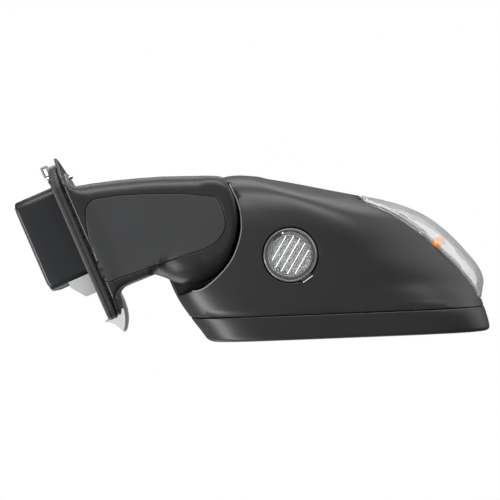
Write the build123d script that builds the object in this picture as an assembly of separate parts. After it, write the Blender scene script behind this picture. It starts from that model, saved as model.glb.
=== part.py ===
from build123d import *
import math
import os

os.makedirs("parts", exist_ok=True)

# ------------------------------------------------------------------ driving dimensions (mm)
# +X outboard (away from the door), +Y towards the rear of the car, +Z up.
BASE_TILT = 23.5            # plan angle between the car's long axis and the mirror's rear axis, deg

SEAL_T = 7.2                # door seal thickness
PLUG_U0, PLUG_U1 = -33.0, 38.0
PLUG_Z0, PLUG_Z1 = -30.0, 30.0
PLUG_DEPTH = 33.0           # the plug's reach into the door
BOLT_U, BOLT_PCD, BOLT_R = 2.5, 44.0, 2.5   # three M6 tapped bosses

PIVOT = (90.5, 10.0)        # fold axis, plan position
ARM_Z0, ARM_Z1 = -38.0, -9.0
BOWL_R = 33.8               # round end of the arm about the fold axis
FOLD_GAP = 2.2              # gap between arm and head
TUBE_R, TUBE_BORE = 8.0, 5.5
HEAD_FLOOR = -6.0           # underside of the head above the arm

SHELL_T = 2.8
SPLIT_Z = 50.0              # parting height of lower shell and upper cover
REAR_SLOPE = 0.04           # rear face: y falls by this much per mm outboard
SEAM_Y, REAR_Y = 68.4, 86.6 # bezel seam and rear edge at x = 126

LAMP = (167.5, 21.3)        # puddle lamp centre
LAMP_R, LAMP_RING_R = 15.8, 20.8

GLASS_C = (206.0, 63.0, 37.0)   # glass gimbal centre
GLASS_TILT = 8.0
PLUNGER_ARM = 30.0

T = math.radians(BASE_TILT)
DU = (math.sin(T), math.cos(T))      # along the door
DV = (math.cos(T), -math.sin(T))     # out of the door
BASE = Plane(origin=(0, 0, 0), x_dir=(DU[0], DU[1], 0), z_dir=(DV[0], DV[1], 0))


def uv(u, v):
    return (DU[0] * u + DV[0] * v, DU[1] * u + DV[1] * v)


# drawing origin (door seal plane) to the shared origin (centre of the door bolt circle)
_o = uv(BOLT_U, -PLUG_DEPTH)
DRAW_TO_ROW = (-_o[0], -_o[1])


def prism(points, z0, z1):
    """Closed plan outline extruded from z0 to z1."""
    face = make_face(Polyline(*points, close=True))
    return extrude(Pos(0, 0, z0) * face, z1 - z0)


def base_block(points, v0, v1):
    """Outline in (along door, up) extruded out of the door from v0 to v1."""
    face = make_face(Polyline(*points, close=True))
    return extrude(BASE.offset(v0) * face, v1 - v0)


def cyl(p, axis, r, length):
    """Cylinder from point p along axis."""
    pl = Plane(origin=p, z_dir=axis)
    return extrude(pl * Circle(r), length)


def box(x0, x1, y0, y1, z0, z1):
    return Pos((x0 + x1) / 2, (y0 + y1) / 2, (z0 + z1) / 2) * Box(x1 - x0, y1 - y0, z1 - z0)


def rounded(u0, u1, z0, z1, r, n=6):
    """Rounded rectangle as a point list."""
    pts = []
    for cx, cz, a0 in ((u1 - r, z0 + r, -90), (u1 - r, z1 - r, 0), (u0 + r, z1 - r, 90), (u0 + r, z0 + r, 180)):
        for i in range(n + 1):
            a = math.radians(a0 + 90 * i / n)
            pts.append((cx + r * math.cos(a), cz + r * math.sin(a)))
    return pts


NODES = {}


def put(name, shape):
    NODES[name] = shape


# ------------------------------------------------------------------ head form
# Sections across the head at constant y: superellipse quadrants about (xm, zm).
XI = [(-41.2, 124), (-40.6, 119), (-39, 113), (-36, 105), (-30, 94), (-22, 84), (-10, 74.5), (2, 69.5), (14, 67.7),
      (26, 68.8), (34, 70.8), (42, 74), (50, 77.6), (58, 82), (66, 87.5), (74, 93.5), (80, 98.3), (92, 107)]
XO = [(-41.2, 133), (-40.6, 143), (-39, 150), (-36, 168), (-30, 200), (-25, 227), (-20, 250), (-13.3, 269),
      (-7.9, 279.4), (-1.1, 289), (7.3, 298.6), (17.7, 308.2), (29.2, 317.8), (36, 321.5), (42, 322.8), (48, 321.5),
      (54, 319.8), (60, 321.2), (68, 324.0), (74, 325.6), (80, 326.2), (92, 325)]
ZB = [(-41.2, 22), (-40.6, 13), (-39, 1), (-36, -11), (-30, -22.5), (-22, -30), (-10, -35), (2, -37.3), (14, -38), (92, -38)]
ZT = [(-41.2, 40), (-40.6, 47), (-39, 58), (-36, 68), (-30, 80), (-22, 90), (-10, 99), (2, 105), (14, 108.5),
      (30, 111), (60, 112), (92, 110)]
ZM = [(-41.2, 32), (-36, 34), (-22, 40), (0, 45), (92, 45)]
N_OL = [(-41.2, 2.0), (-20, 2.2), (40, 2.3), (54, 2.9), (66, 3.9), (92, 4.4)]
N_IL = [(-41.2, 2.0), (-20, 2.4), (20, 3.4), (50, 4.6), (92, 5.0)]
N_UP = [(-41.2, 2.0), (-20, 2.2), (20, 2.8), (60, 3.8), (92, 4.4)]
# inward lean of the outboard lower quarter
LEAN = [(-41.2, 0.34), (-20, 0.34), (-9, 0.28), (10, 0.25), (30, 0.15), (42, 0.08), (54, 0.0), (92, 0.0)]


def pchip(table):
    """Monotone cubic through a table of (y, value)."""
    xs = [p[0] for p in table]
    ys = [p[1] for p in table]
    n = len(xs)
    h = [xs[i + 1] - xs[i] for i in range(n - 1)]
    d = [(ys[i + 1] - ys[i]) / h[i] for i in range(n - 1)]
    m = [0.0] * n
    m[0], m[-1] = d[0], d[-1]
    for i in range(1, n - 1):
        if d[i - 1] * d[i] > 0:
            w1, w2 = 2 * h[i] + h[i - 1], h[i] + 2 * h[i - 1]
            m[i] = (w1 + w2) / (w1 / d[i - 1] + w2 / d[i])

    def f(q):
        if q <= xs[0]:
            return ys[0]
        if q >= xs[-1]:
            return ys[-1]
        i = 0
        while q > xs[i + 1]:
            i += 1
        t = (q - xs[i]) / h[i]
        return ((1 + 2 * t) * (1 - t) ** 2 * ys[i] + t * (1 - t) ** 2 * h[i] * m[i]
                + t * t * (3 - 2 * t) * ys[i + 1] + t * t * (t - 1) * h[i] * m[i + 1])
    return f


FXI, FXO, FZB, FZT, FZM = pchip(XI), pchip(XO), pchip(ZB), pchip(ZT), pchip(ZM)
FOL, FIL, FUP, FLEAN = pchip(N_OL), pchip(N_IL), pchip(N_UP), pchip(LEAN)


def head_point(y, phi, inset=0.0):
    """Point of the head's skin in the section at y: phi 0 outboard, 90 top, 180 inboard, 270 bottom."""
    xi, xo = FXI(y) + inset, FXO(y) - inset
    zb, zt = FZB(y) + inset, FZT(y) - inset
    xm, zm = (xi + xo) / 2, min(max(FZM(y), zb + 1), zt - 1)
    p = math.radians(phi)
    c, s_ = math.cos(p), math.sin(p)
    n = FUP(y) if s_ >= 0 else (FOL(y) if c >= 0 else FIL(y))
    r = (abs(c) ** n + abs(s_) ** n) ** (-1 / n)
    b = (zt - zm) if s_ >= 0 else (zm - zb)
    dx, dz = (xo - xi) / 2 * r * c, b * r * s_
    if s_ < 0 and c > 0:
        t = min(1.0, -dz / b)
        dx *= 1 - FLEAN(y) * t * t * (3 - 2 * t)
    return xm + dx, zm + dz


PHIS = [0, 12, 24, 34, 42, 50, 58, 68, 79, 90, 101, 112, 122, 130, 138, 146, 156, 168, 180, 192, 204, 214, 222, 230, 238,
        248, 259, 270, 281, 292, 302, 310, 318, 326, 336, 348]


def head_section(y, inset=0.0, phis=PHIS):
    return [head_point(y, p, inset) for p in phis]


def head_body(inset, ys, own={}, phis=PHIS):
    """Closed faceted body through sections at ys."""
    rows = [[Vector(x, y, z) for x, z in head_section(y, own.get(y, inset), phis)] for y in ys]
    faces = []
    n = len(phis)
    for r0, r1 in zip(rows, rows[1:]):
        for i in range(n):
            j = (i + 1) % n
            faces.append(Face(Wire.make_polygon([r0[i], r0[j], r1[j]])))
            faces.append(Face(Wire.make_polygon([r0[i], r1[j], r1[i]])))
    faces.append(Face(Wire.make_polygon(rows[0])))
    faces.append(Face(Wire.make_polygon(rows[-1])))
    return Solid(Shell(faces))


outer = head_body(0.0, [-41.2, -40.2, -37.5, -33, -26, -16, -3, 12, 27, 40, 50, 60, 74, 90])
inner = head_body(SHELL_T, [-36, -32, -25, -15, -2, 12, 27, 40, 50, 60, 74, 96], {-36: 8.0, -32: 6.0, -25: 4.6, -15: 3.6, -2: 3.1})

ANG = math.degrees(math.atan(REAR_SLOPE))


def behind(y126, big=400):
    """Half space behind the sloping plane through (126, y126)."""
    return Pos(126, y126, 30) * Rot(0, 0, -ANG) * Pos(60, big / 2, 0) * Box(big * 2, big, big)


head_solid = outer - behind(REAR_Y)
head_skin = head_solid - inner

# ------------------------------------------------------------------ arm plan outline
ARC = [(PIVOT[0] + BOWL_R * math.cos(math.radians(a)), PIVOT[1] + BOWL_R * math.sin(math.radians(a)))
       for a in range(20, 135, 5)]
LOBE = [(112.5, -38.6), (116.6, -37.6), (118.8, -35.0), (121.4, -30.6), (123.6, -26.0), (125.4, -20.8), (126.6, -15.6),
        (127.5, -9.5), (127.7, -3.5), (127.2, 3.0), (125.8, 10.0), (124.0, 15.8)]
ARM_PLAN = [(3.0, -31.4), (16, -33.5), (34.3, -35.9), (52.7, -37.7), (70, -38.8), (90, -39.1)] + LOBE + ARC + \
           [(62, 37.4), (45, 43.9), (37.7, 46.9), (34.5, 49.6), (33.8, 52.0)] + [uv(38, 12.2), uv(0, 14.2), uv(-26, 12.0)]
# plan of what the arm keeps clear in the head
LOBE_CUT = []
_pl = [(90, -39.1)] + LOBE + ARC
for i in range(1, len(_pl) - 1):
    (ax, ay), (bx, by) = _pl[i - 1], _pl[i + 1]
    L = math.hypot(bx - ax, by - ay)
    LOBE_CUT.append((_pl[i][0] + (by - ay) / L * FOLD_GAP, _pl[i][1] - (bx - ax) / L * FOLD_GAP))
HEAD_CUT = [(60, -60), (119.0, -60), (119.4, -38.5)] + [p for p in LOBE_CUT[2:-10]] + \
           [(91.6, 49.0), (60, 62)]
PANEL = [(24.6, -21.4), (39.2, -23.7), (61.7, -24.9), (84.3, -24.9), (99.4, -23.6), (109.5, -22.6), (112.6, -21.4),
         (114.6, -18.6), (117.2, -12.0), (118.6, -5.0), (118.4, 0.8), (116.8, 5.0), (113.6, 9.4), (109.6, 13.2),
         (105.0, 15.8), (99.4, 17.9), (84.3, 22.8), (69.3, 28.0), (54.2, 33.3), (39.2, 38.6), (30.6, 41.6), (27.4, 40.4),
         (25.0, 36.0), (19.5, 22.0), (15.6, 8.0), (13.4, -4.0), (13.2, -13.0), (15.8, -18.4), (19.6, -20.7)]


def grow(pts, d):
    """Outline moved outwards by d (points run counter-clockwise when seen from +Z)."""
    n = len(pts)
    area = sum(pts[i][0] * pts[(i + 1) % n][1] - pts[(i + 1) % n][0] * pts[i][1] for i in range(n))
    s = 1 if area > 0 else -1
    out = []
    for i in range(n):
        (ax, ay), (bx, by) = pts[i - 1], pts[(i + 1) % n]
        L = math.hypot(bx - ax, by - ay)
        out.append((pts[i][0] + s * (by - ay) / L * d, pts[i][1] - s * (bx - ax) / L * d))
    return out


# ------------------------------------------------------------------ base group
# flange outline in (u along door, z up): long lower edge, nose rising to the front
FLANGE = [(-30, -40), (70, -40), (76, -36), (77, -28), (70, 10), (62, 34), (48, 52), (24, 58), (-8, 56), (-36, 44), (-52, 26),
          (-56, 8), (-54, -4), (-44, -24), (-35, -37)]
SEAL = [(-31, -40.5), (72, -40.5), (77, -36), (77.6, -28), (70.6, 10.4), (62.6, 34.6), (48.4, 52.8), (24, 58.8), (-8.2, 56.8),
        (-36.5, 44.6), (-52.8, 26.4), (-56.8, 8), (-54.6, -4.6), (-44.6, -24.6), (-35.8, -37.8)]

plug_hole = base_block(rounded(PLUG_U0 - 0.4, PLUG_U1 + 0.4, PLUG_Z0 - 0.4, PLUG_Z1 + 0.4, 6), -1, SEAL_T + 1)
seal = base_block(SEAL, 0, SEAL_T) - plug_hole
seal -= base_block([(36, -33.6), (54.4, -33.6), (54.4, -14.8), (36, -14.8)], -1, SEAL_T + 1)   # for the locating foot
seal -= base_block([(-52.6, -3.6), (-35.9, -3.6), (-35.9, 7.6), (-52.6, 7.6)], -1, SEAL_T + 1)   # for the retaining clip
put("door_seal", seal)

# bracket: hollow plug core, plate, arm beam and pivot boss
core = base_block(rounded(PLUG_U0 + 3, PLUG_U1 - 3, PLUG_Z0 + 3, PLUG_Z1 - 3, 5), -PLUG_DEPTH, 2.0)
core -= base_block(rounded(PLUG_U0 + 6.5, PLUG_U1 - 6.5, PLUG_Z0 + 6.5, PLUG_Z1 - 6.5, 4), -PLUG_DEPTH + 5, 12.0)
plate = base_block(rounded(-29, 34, -26, 26, 5), 1.9, 12.0) - base_block(rounded(-25, 30, -22, 22, 4), 1.0, 13.0)
plate += base_block([(-28, -32), (60, -32), (64, -26), (54, 30), (40, 44), (-6, 46), (-30, 34), (-40, 16), (-40, -6)],
                    SEAL_T + 2.2, 12.0) - base_block(rounded(-25, 30, -22, 22, 4), 1.0, 13.0)
BEAM = [uv(-20, 11), uv(34, 11), (60, 24), (76, 22), (90.5, 24.5), (101, 20), (105.5, 10), (102, -6), (90.5, -13), (60, -20)]
beam = prism(BEAM, -31, -15)
beam -= prism([(30, -12), (58, -14), (70, -10), (70, 16), (60, 18), (38, 20)], -27.5, -14)
bracket = core + plate + beam
bracket += cyl((PIVOT[0], PIVOT[1], -31.8), (0, 0, 1), 15.2, 17.8)
bracket -= cyl((PIVOT[0], PIVOT[1], -34), (0, 0, 1), TUBE_R, 30)
# cable passage from the plug into the beam
for k in range(3):
    a = math.radians(90 + 120 * k)
    bu, bz = BOLT_U + BOLT_PCD / 2 * math.cos(a), BOLT_PCD / 2 * math.sin(a)
    c = uv(bu, -PLUG_DEPTH)
    bracket += cyl((c[0], c[1], bz), (DV[0], DV[1], 0), 5.1, 18)
    bracket -= cyl((c[0] - DV[0], c[1] - DV[1], bz), (DV[0], DV[1], 0), BOLT_R, 16)
SOCK_U, SOCK_Z, SOCK_W, SOCK_H = 2.5, 0.5, 20.0, 11.0
bracket -= base_block(rounded(SOCK_U - SOCK_W / 2 - 0.3, SOCK_U + SOCK_W / 2 + 0.3, SOCK_Z - SOCK_H / 2 - 0.3,
                              SOCK_Z + SOCK_H / 2 + 0.3, 1.5), -PLUG_DEPTH - 1, -PLUG_DEPTH + 6)
put("base_bracket", bracket)

shroud = base_block(rounded(PLUG_U0, PLUG_U1, PLUG_Z0, PLUG_Z1, 6), -PLUG_DEPTH + 1.5, SEAL_T + 2.0)
shroud -= base_block(rounded(PLUG_U0 + 2.6, PLUG_U1 - 2.6, PLUG_Z0 + 2.6, PLUG_Z1 - 2.6, 4.5), -PLUG_DEPTH, SEAL_T + 3)
put("plug_shroud", shroud)

# harness socket in the plug's end, with its pins
sock = base_block(rounded(SOCK_U - SOCK_W / 2, SOCK_U + SOCK_W / 2, SOCK_Z - SOCK_H / 2, SOCK_Z + SOCK_H / 2, 1.5),
                  -PLUG_DEPTH - 2.5, -PLUG_DEPTH + 11)
sock -= base_block(rounded(SOCK_U - SOCK_W / 2 + 1.5, SOCK_U + SOCK_W / 2 - 1.5, SOCK_Z - SOCK_H / 2 + 1.5,
                           SOCK_Z + SOCK_H / 2 - 1.5, 0.8), -PLUG_DEPTH - 4, -PLUG_DEPTH + 8)
put("harness_socket", sock)
pins = None
for i in range(6):
    for j in range(2):
        pu, pz = SOCK_U - 7.0 + 2.8 * i, SOCK_Z - 1.5 + 3.0 * j
        pin = base_block([(pu - 0.32, pz - 0.32), (pu + 0.32, pz - 0.32), (pu + 0.32, pz + 0.32), (pu - 0.32, pz + 0.32)],
                         -PLUG_DEPTH - 0.5, -PLUG_DEPTH + 8.0)
        pins = pin if pins is None else pins + pin
put("harness_pins", pins)

# grey locating foot beside the plug, and the spring clip on the nose
foot = prism([uv(38.3, -17), uv(43, -17), uv(53.5, -9), uv(53.5, 9.0), uv(38.3, 9.0)], -32.3, -16)
foot -= base_block([(41.5, -29.3), (50.5, -29.3), (50.5, -15), (41.5, -15)], -6.0, 5.5)
_fs = uv(50, 7.6)
foot -= cyl((_fs[0], _fs[1], -22), (DV[0], DV[1], 0), 3.6, 3.0)   # room for the cover screw's head
put("locating_foot", foot)
clip = base_block([(-52, -3), (-36.5, -3), (-36.5, 7), (-52, 7)], -1.0, -0.05)
clip += base_block([(-52, -3), (-51, -3), (-51, 7), (-52, 7)], -5.0, -0.05)
clip += base_block([(-52, -3), (-44, -3), (-44, 7), (-52, 7)], -5.0, -4.1)
cc = uv(-41, -1.0)
clip += cyl((cc[0], cc[1], 2), (-DV[0], -DV[1], 0), 3.6, 2.6) - cyl((cc[0], cc[1], 2), (-DV[0], -DV[1], 0), 2.0, 3.0)
clip += base_block([(-50, -2.5), (-42, -2.5), (-42, 3.5), (-50, 3.5)], -1.0, 9.0)   # stem through the seal
put("retaining_clip", clip)

# arm cover: flange plate (thinner to the rear) with the hollow arm
flange = base_block(FLANGE, SEAL_T + 2.0, 15.8)
flange -= prism([uv(-30, 15.8), uv(90, 7.6), uv(90, 40), uv(-30, 40)], -60, 80)
arm = prism(ARM_PLAN, ARM_Z0, ARM_Z1)
# dished underside of the round end: cut away below a cone outside the flat panel zone
dish_zone = prism([(126, 14), (112, 11.8), (104, 18.2), (84.3, 25.0), (66, 31.5), (50, 70), (140, 70)], ARM_Z0 - 2, ARM_Z1)
cone = Pos(PIVOT[0], PIVOT[1], 0) * extrude(Pos(0, 0, -38) * Circle(60), 26)
ring = Pos(PIVOT[0], PIVOT[1], -38) * Cone(15.5, BOWL_R + 1.0, 26, align=(Align.CENTER, Align.CENTER, Align.MIN))
arm -= (cone - ring) & dish_zone
# shoulder rising to the flange
sh = make_face(Polyline((-24, -9.5), (40, -9.5), (34, 6), (16, 18), (-8, 18), (-20, 8), close=True))
shoulder = loft([BASE.offset(9.6) * sh, BASE.offset(26) * make_face(
    Polyline((-18, -9.5), (34, -9.5), (29, -5), (14, -2), (-6, -2), (-14, -5), close=True))])
cover = flange + arm + shoulder
ARM_HOLLOW = [(14, -30.3), (40, -33.3), (70, -35.9), (90, -36.3), (111, -35.7), (116.4, -33), (121.0, -22), (124.2, -10),
              (124.5, -2), (122.8, 8), (119.4, 18)] + \
             [(PIVOT[0] + 31 * math.cos(math.radians(a)), PIVOT[1] + 31 * math.sin(math.radians(a)))
              for a in range(25, 131, 7)] + [(60, 35), (42, 42.4), uv(36, 16.4), uv(-18, 17.5)]
hollow = prism(ARM_HOLLOW, ARM_Z0 + 3.4, ARM_Z1 - 2.4)
keep_bowl = (cone - (Pos(PIVOT[0], PIVOT[1], -35.2) * Cone(15.5, BOWL_R + 1.0, 26, align=(Align.CENTER, Align.CENTER, Align.MIN)))) & dish_zone
cover -= (hollow - keep_bowl)
cover -= base_block([(-28.5, -32.5), (60.5, -32.5), (64.5, -26), (54.5, 30.5), (40.4, 44.5), (-6.2, 46.5), (-30.4, 34.4),
                     (-40.4, 16.2), (-40.4, -6.4)], SEAL_T + 1.9, 12.1) & prism([uv(-60, 5), uv(80, 5), uv(80, 12.1), uv(-60, 12.1)], -60, 80)
cover -= prism(grow(PANEL, 0.5), ARM_Z0 - 1, ARM_Z0 + 2.4)
cover -= prism(grow(BEAM, 0.5), -31.5, -14.5) & base_block([(-60, -60), (90, -60), (90, 60), (-60, 60)], 11.5, 160)
cover -= cyl((PIVOT[0], PIVOT[1], -32.4), (0, 0, 1), 15.8, 19.0)
cover -= cyl((PIVOT[0], PIVOT[1], ARM_Z1 - 4), (0, 0, 1), 21.0, 8)
put("arm_cover", cover)
panel = prism(PANEL, ARM_Z0, ARM_Z0 + 2.0)
put("arm_panel", panel)

# silver sail trim behind the flange
FIN = [uv(57.0, 11.6), uv(62, 12.2), uv(69, 12.0), uv(77, 10.8), uv(84, 8.4), uv(89.4, 4.6), uv(91.4, 0.6), uv(90, -0.8),
       uv(85, -2.2), uv(80, -5.0), uv(76, -8.6), uv(74.4, -6.0), uv(79, 0.6), uv(78.6, 4.4), uv(74.6, 6.6), uv(66, 7.4), uv(58.4, 9.0)]
fin = prism(FIN, 12, 44)
fin &= base_block([(50, 8), (98, 8), (93, 40), (84, 62), (66, 66), (52, 50)], -14, 18)
fin -= base_block(FLANGE, SEAL_T + 1.7, 17)
fin -= base_block(SEAL, -16, SEAL_T + 0.3)
put("sail_trim", fin)

# screws holding the cover to the bracket from the seal side
scr = None
for su, sz in ((-36.8, 8), (44, 30), (50, -22)):
    c = uv(su, 8.0)
    s = cyl((c[0], c[1], sz), (DV[0], DV[1], 0), 3.2, 1.2) + cyl((c[0], c[1], sz), (DV[0], DV[1], 0), 1.5, 6.6)
    scr = s if scr is None else scr + s
    hole = cyl((c[0], c[1], sz), (DV[0], DV[1], 0), 1.5, 6.6) + cyl((c[0] - DV[0], c[1] - DV[1], sz), (DV[0], DV[1], 0), 3.2, 2.2)
    NODES["base_bracket"] -= hole
    NODES["arm_cover"] -= hole
put("cover_screws", scr)

# fold pivot: tube pressed in the bracket, detent ring, gear, spring, retainer
px, py = PIVOT
tube = cyl((px, py, -33), (0, 0, 1), TUBE_R, 83) - cyl((px, py, -34), (0, 0, 1), TUBE_BORE, 90)
put("pivot_tube", tube)
ringd = cyl((px, py, -13), (0, 0, 1), 15.5, 3.6) - cyl((px, py, -14), (0, 0, 1), TUBE_R, 8)
for k in range(3):
    a = math.radians(30 + 120 * k)
    ringd += Pos(px + 12.4 * math.cos(a), py + 12.4 * math.sin(a), -8.6) * Cylinder(2.0, 2.0)
put("detent_ring", ringd)
gear = cyl((px, py, 22), (0, 0, 1), 14.0, 5) - cyl((px, py, 21), (0, 0, 1), TUBE_R, 8)
for k in range(24):
    a = 360 / 24 * k
    gear -= Pos(px, py, 24.5) * Rot(0, 0, a) * Pos(14.0, 0, 0) * Box(2.2, 1.5, 6)
put("fold_gear", gear)
spr = None
for k in range(5):
    zc = 29.6 + 2.9 * k
    t = cyl((px, py, zc), (0, 0, 1), 12.8, 1.3) - cyl((px, py, zc - 1), (0, 0, 1), 9.4, 4)
    spr = t if spr is None else spr + t
for k in range(4):
    for j in range(3):
        a = math.radians(120 * j + 60 * (k % 2))
        spr += Pos(px + 11.1 * math.cos(a), py + 11.1 * math.sin(a), 29.6 + 2.9 * k + 2.1) * Rot(0, 0, math.degrees(a)) * Box(2.4, 4.0, 2.0)
put("fold_spring", spr)
ret = cyl((px, py, 44.2), (0, 0, 1), 13.5, 2.2) - cyl((px, py, 43), (0, 0, 1), TUBE_R, 6)
put("spring_retainer", ret)

# ------------------------------------------------------------------ head group
zsplit = box(40, 360, -80, 120, SPLIT_Z, 160)
zlow = box(40, 360, -80, 120, -80, SPLIT_Z - 0.5)
fore = behind(SEAM_Y - 0.25)
lens_zone = prism([(223, -60), (340, -60), (340, 55.5), (300, 55.5), (284, 34), (262, 16), (242, 4), (226, -4)], 4, 60)
lens_zone_gap = prism([(222.5, -61), (341, -61), (341, 56), (299.5, 56), (283.5, 34.5), (261.5, 16.5), (241.5, 4.5), (225.5, -3.5)], 3.5, 60.5)

lower = (head_skin & zlow) - fore
lower -= lens_zone_gap
# floor above the arm
floor_plan = [(60, -60)] + HEAD_CUT[1:-1] + [(60, 62)]
cut = prism(HEAD_CUT, -60, HEAD_FLOOR)
cut_in = prism(HEAD_CUT, HEAD_FLOOR + 2.4, 200)
floor = (head_solid - behind(SEAM_Y - 0.6)) & prism(grow(HEAD_CUT, 2.6), -60, HEAD_FLOOR + 2.4)
floor -= cut
lower = (lower - cut) + (floor & zlow)
lower -= cyl((LAMP[0], LAMP[1], -60), (0, 0, 1), LAMP_RING_R + 0.4, 40)
lower -= cyl((px, py, HEAD_FLOOR - 1), (0, 0, 1), 20.5, 6)
put("lower_shell", lower)
upper = (head_skin & zsplit) - fore - lens_zone_gap
put("upper_cover", upper)
bez_skin = (head_solid - inner) & behind(SEAM_Y + 0.25)
core_hole = head_body(SHELL_T + 3.0, [50, 60, 74, 99])
bezel = ((head_solid & behind(SEAM_Y + 0.25)) - core_hole)
put("rear_bezel", bezel)

# structural frame: sleeve on the pivot tube, web, plate that carries the glass actuator
gx, gy, gz = GLASS_C
sleeve = cyl((px, py, HEAD_FLOOR + 2.9), (0, 0, 1), 11.2, 14.5) - cyl((px, py, -20), (0, 0, 1), TUBE_R + 0.05, 60)
web = prism([(px + 5, py + 4), (px + 15, py - 2), (150, 26.5), (166, 35.3), (px + 22, py + 25.4), (px + 2, py + 15)], 1.3, 10)
web -= cyl((px, py, -20), (0, 0, 1), 9.6, 60)
fr_plate = extrude(Plane(origin=(gx, 34, gz), x_dir=(1, 0, 0), z_dir=(0, 1, 0)) *
                   make_face(Polyline(*rounded(-62, 50, -50, 48, 16), close=True)), 4)
# row of lightening windows
for wx0, wx1, wz0, wz1 in ((-57, -48, -26, 26), (-20, 20, -24, -8), (-20, 20, 4, 24)):
    fr_plate -= extrude(Plane(origin=(gx, 33, gz), x_dir=(1, 0, 0), z_dir=(0, 1, 0)) *
                        make_face(Polyline(*rounded(wx0, wx1, wz0, wz1, 3.5), close=True)), 6)
frame_piece = sleeve + web + fr_plate + box(148, 170, 25, 35, 3, 40)
put("head_frame", frame_piece)

# fold actuator: gearbox on the frame, motor, worm
gbx = box(px + 3, px + 44, py - 6, py + 22, 12, 20) - cyl((px, py, 0), (0, 0, 1), 15.8, 60)
gbx += box(px + 15.5, px + 44, py - 6, py - 3.5, 19.9, 34) + box(px + 15.5, px + 44, py + 19.5, py + 22, 19.9, 34)
gbx -= cyl((px, py, 0), (0, 0, 1), 16.0, 60)
gbx -= cyl((px + 17.9, py - 12, 24.5), (0, 1, 0), 1.25, 50)
gbx += box(px + 13, px + 44, py + 5, py + 9, 10.0, 12.1) - cyl((px, py, 0), (0, 0, 1), 15.8, 60)
put("fold_gearbox", gbx)
worm = cyl((px + 17.9, py - 2.6, 24.5), (0, 1, 0), 3.2, 21.0) + cyl((px + 17.9, py - 5.5, 24.5), (0, 1, 0), 1.2, 27.2)
put("fold_worm", worm)
fmot = cyl((px + 17.9 + 12.5, py - 3.0, 28.5), (0, 1, 0), 7.2, 22.0)
fmot = fmot - cyl((px + 17.9 + 12.5, py - 3.2, 28.5), (0, 1, 0), 7.3, 0.5)
put("fold_motor", fmot)

# glass actuator
ah = extrude(Plane(origin=(gx, 41.0, gz), x_dir=(1, 0, 0), z_dir=(0, 1, 0)) * Circle(44), 12)
ah -= extrude(Plane(origin=(gx, 40.9, gz), x_dir=(1, 0, 0), z_dir=(0, 1, 0)) * Circle(41.6), 9.7)
for s in (-1, 1):
    ear = box(gx - 4.5, gx + 4.5, 52.9, 66.4, gz + s * 16.6 - 2.4, gz + s * 16.6 + 2.4)
    ah += ear
ah -= cyl((gx, gy, gz - 30), (0, 0, 1), 2.05, 60)
PP = (gx, gz - PLUNGER_ARM)
PY = (gx + PLUNGER_ARM, gz)
for (qx, qz) in (PP, PY):
    ah -= cyl((qx, 48, qz), (0, 1, 0), 4.3, 10)
put("actuator_housing", ah)
ac = extrude(Plane(origin=(gx, 38.1, gz), x_dir=(1, 0, 0), z_dir=(0, 1, 0)) * Circle(44), 2.8)
put("actuator_cover", ac)
gim = extrude(Plane(origin=(gx, gy - 2.6, gz), x_dir=(1, 0, 0), z_dir=(0, 1, 0)) * Circle(12.5), 5.2)
gim -= extrude(Plane(origin=(gx, gy - 4, gz), x_dir=(1, 0, 0), z_dir=(0, 1, 0)) * Circle(8.5), 8)
gim += cyl((gx, gy, gz + 11), (0, 0, 1), 2.0, 7.6) + cyl((gx, gy, gz - 11), (0, 0, -1), 2.0, 7.6)
gim += cyl((gx + 11, gy, gz), (1, 0, 0), 2.0, 7.6) + cyl((gx - 11, gy, gz), (-1, 0, 0), 2.0, 7.6)
put("gimbal", gim)

# the glass, its heater and its carrier: outline from the head's rear section
GL_Y = 77.0


def glass_outline(inset):
    """Outline that clears both the rear opening and the narrower section the glass swings into."""
    dense = [2.0 * k for k in range(180)]
    rings = [head_section(80, inset + 0.2, dense), head_section(58, inset - 2.6, dense)]
    out = []
    for a in (0, 20, 32, 40, 48, 62, 90, 118, 132, 140, 148, 160, 180, 200, 212, 220, 228, 242, 270, 290, 306, 318, 328, 340):
        ta = math.radians(a)
        best = 1e9
        for ring in rings:
            for (x0, z0), (x1, z1) in zip(ring, ring[1:] + ring[:1]):
                ax, az, bx, bz = x0 - gx, z0 - gz, x1 - gx, z1 - gz
                dx, dz = bx - ax, bz - az
                den = math.cos(ta) * dz - math.sin(ta) * dx
                if abs(den) < 1e-9:
                    continue
                r = (ax * dz - az * dx) / den
                w = (ax * math.sin(ta) - az * math.cos(ta)) / den
                if r > 0 and -1e-6 <= w <= 1 + 1e-6:
                    best = min(best, r)
        out.append((gx + best * math.cos(ta), gz + best * math.sin(ta)))
    return out


def glass_plate(inset, y0, t):
    f = make_face(Spline(*[(x, 0, z) for x, z in glass_outline(inset)], periodic=True))
    s = extrude(f, amount=t, dir=(0, 1, 0))
    # lie parallel to the sloping rear edge, at depth y0 at x = gx
    return Pos(gx, y0, 0) * Rot(0, 0, -ANG) * Pos(-gx, 0, 0) * s


GI = 10.6
mirror = glass_plate(GI + 1.0, GL_Y - 2.1, 2.1)
heater = glass_plate(GI + 3.0, GL_Y - 2.69, 0.55)
carrier = glass_plate(GI, GL_Y - 5.2, 4.7) - glass_plate(GI + 0.9, GL_Y - 2.7, 4.0)
for s in (-1, 1):
    lug = box(gx + s * 16.6 - 2.4, gx + s * 16.6 + 2.4, gy - 3.4, GL_Y - 4.6, gz - 4.2, gz + 4.2)
    carrier += lug
carrier -= cyl((gx - 30, gy, gz), (1, 0, 0), 2.05, 60)
for (qx, qz) in (PP, PY):
    cup = cyl((qx, gy - 3.4, qz), (0, 1, 0), 7.0, GL_Y - 4.6 - gy + 3.4) - cyl((qx, gy - 5, qz), (0, 1, 0), 4.9, 10.6)
    carrier += cup
put("glass_carrier", carrier)
put("heater_pad", heater)
put("mirror_glass", mirror)

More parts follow.
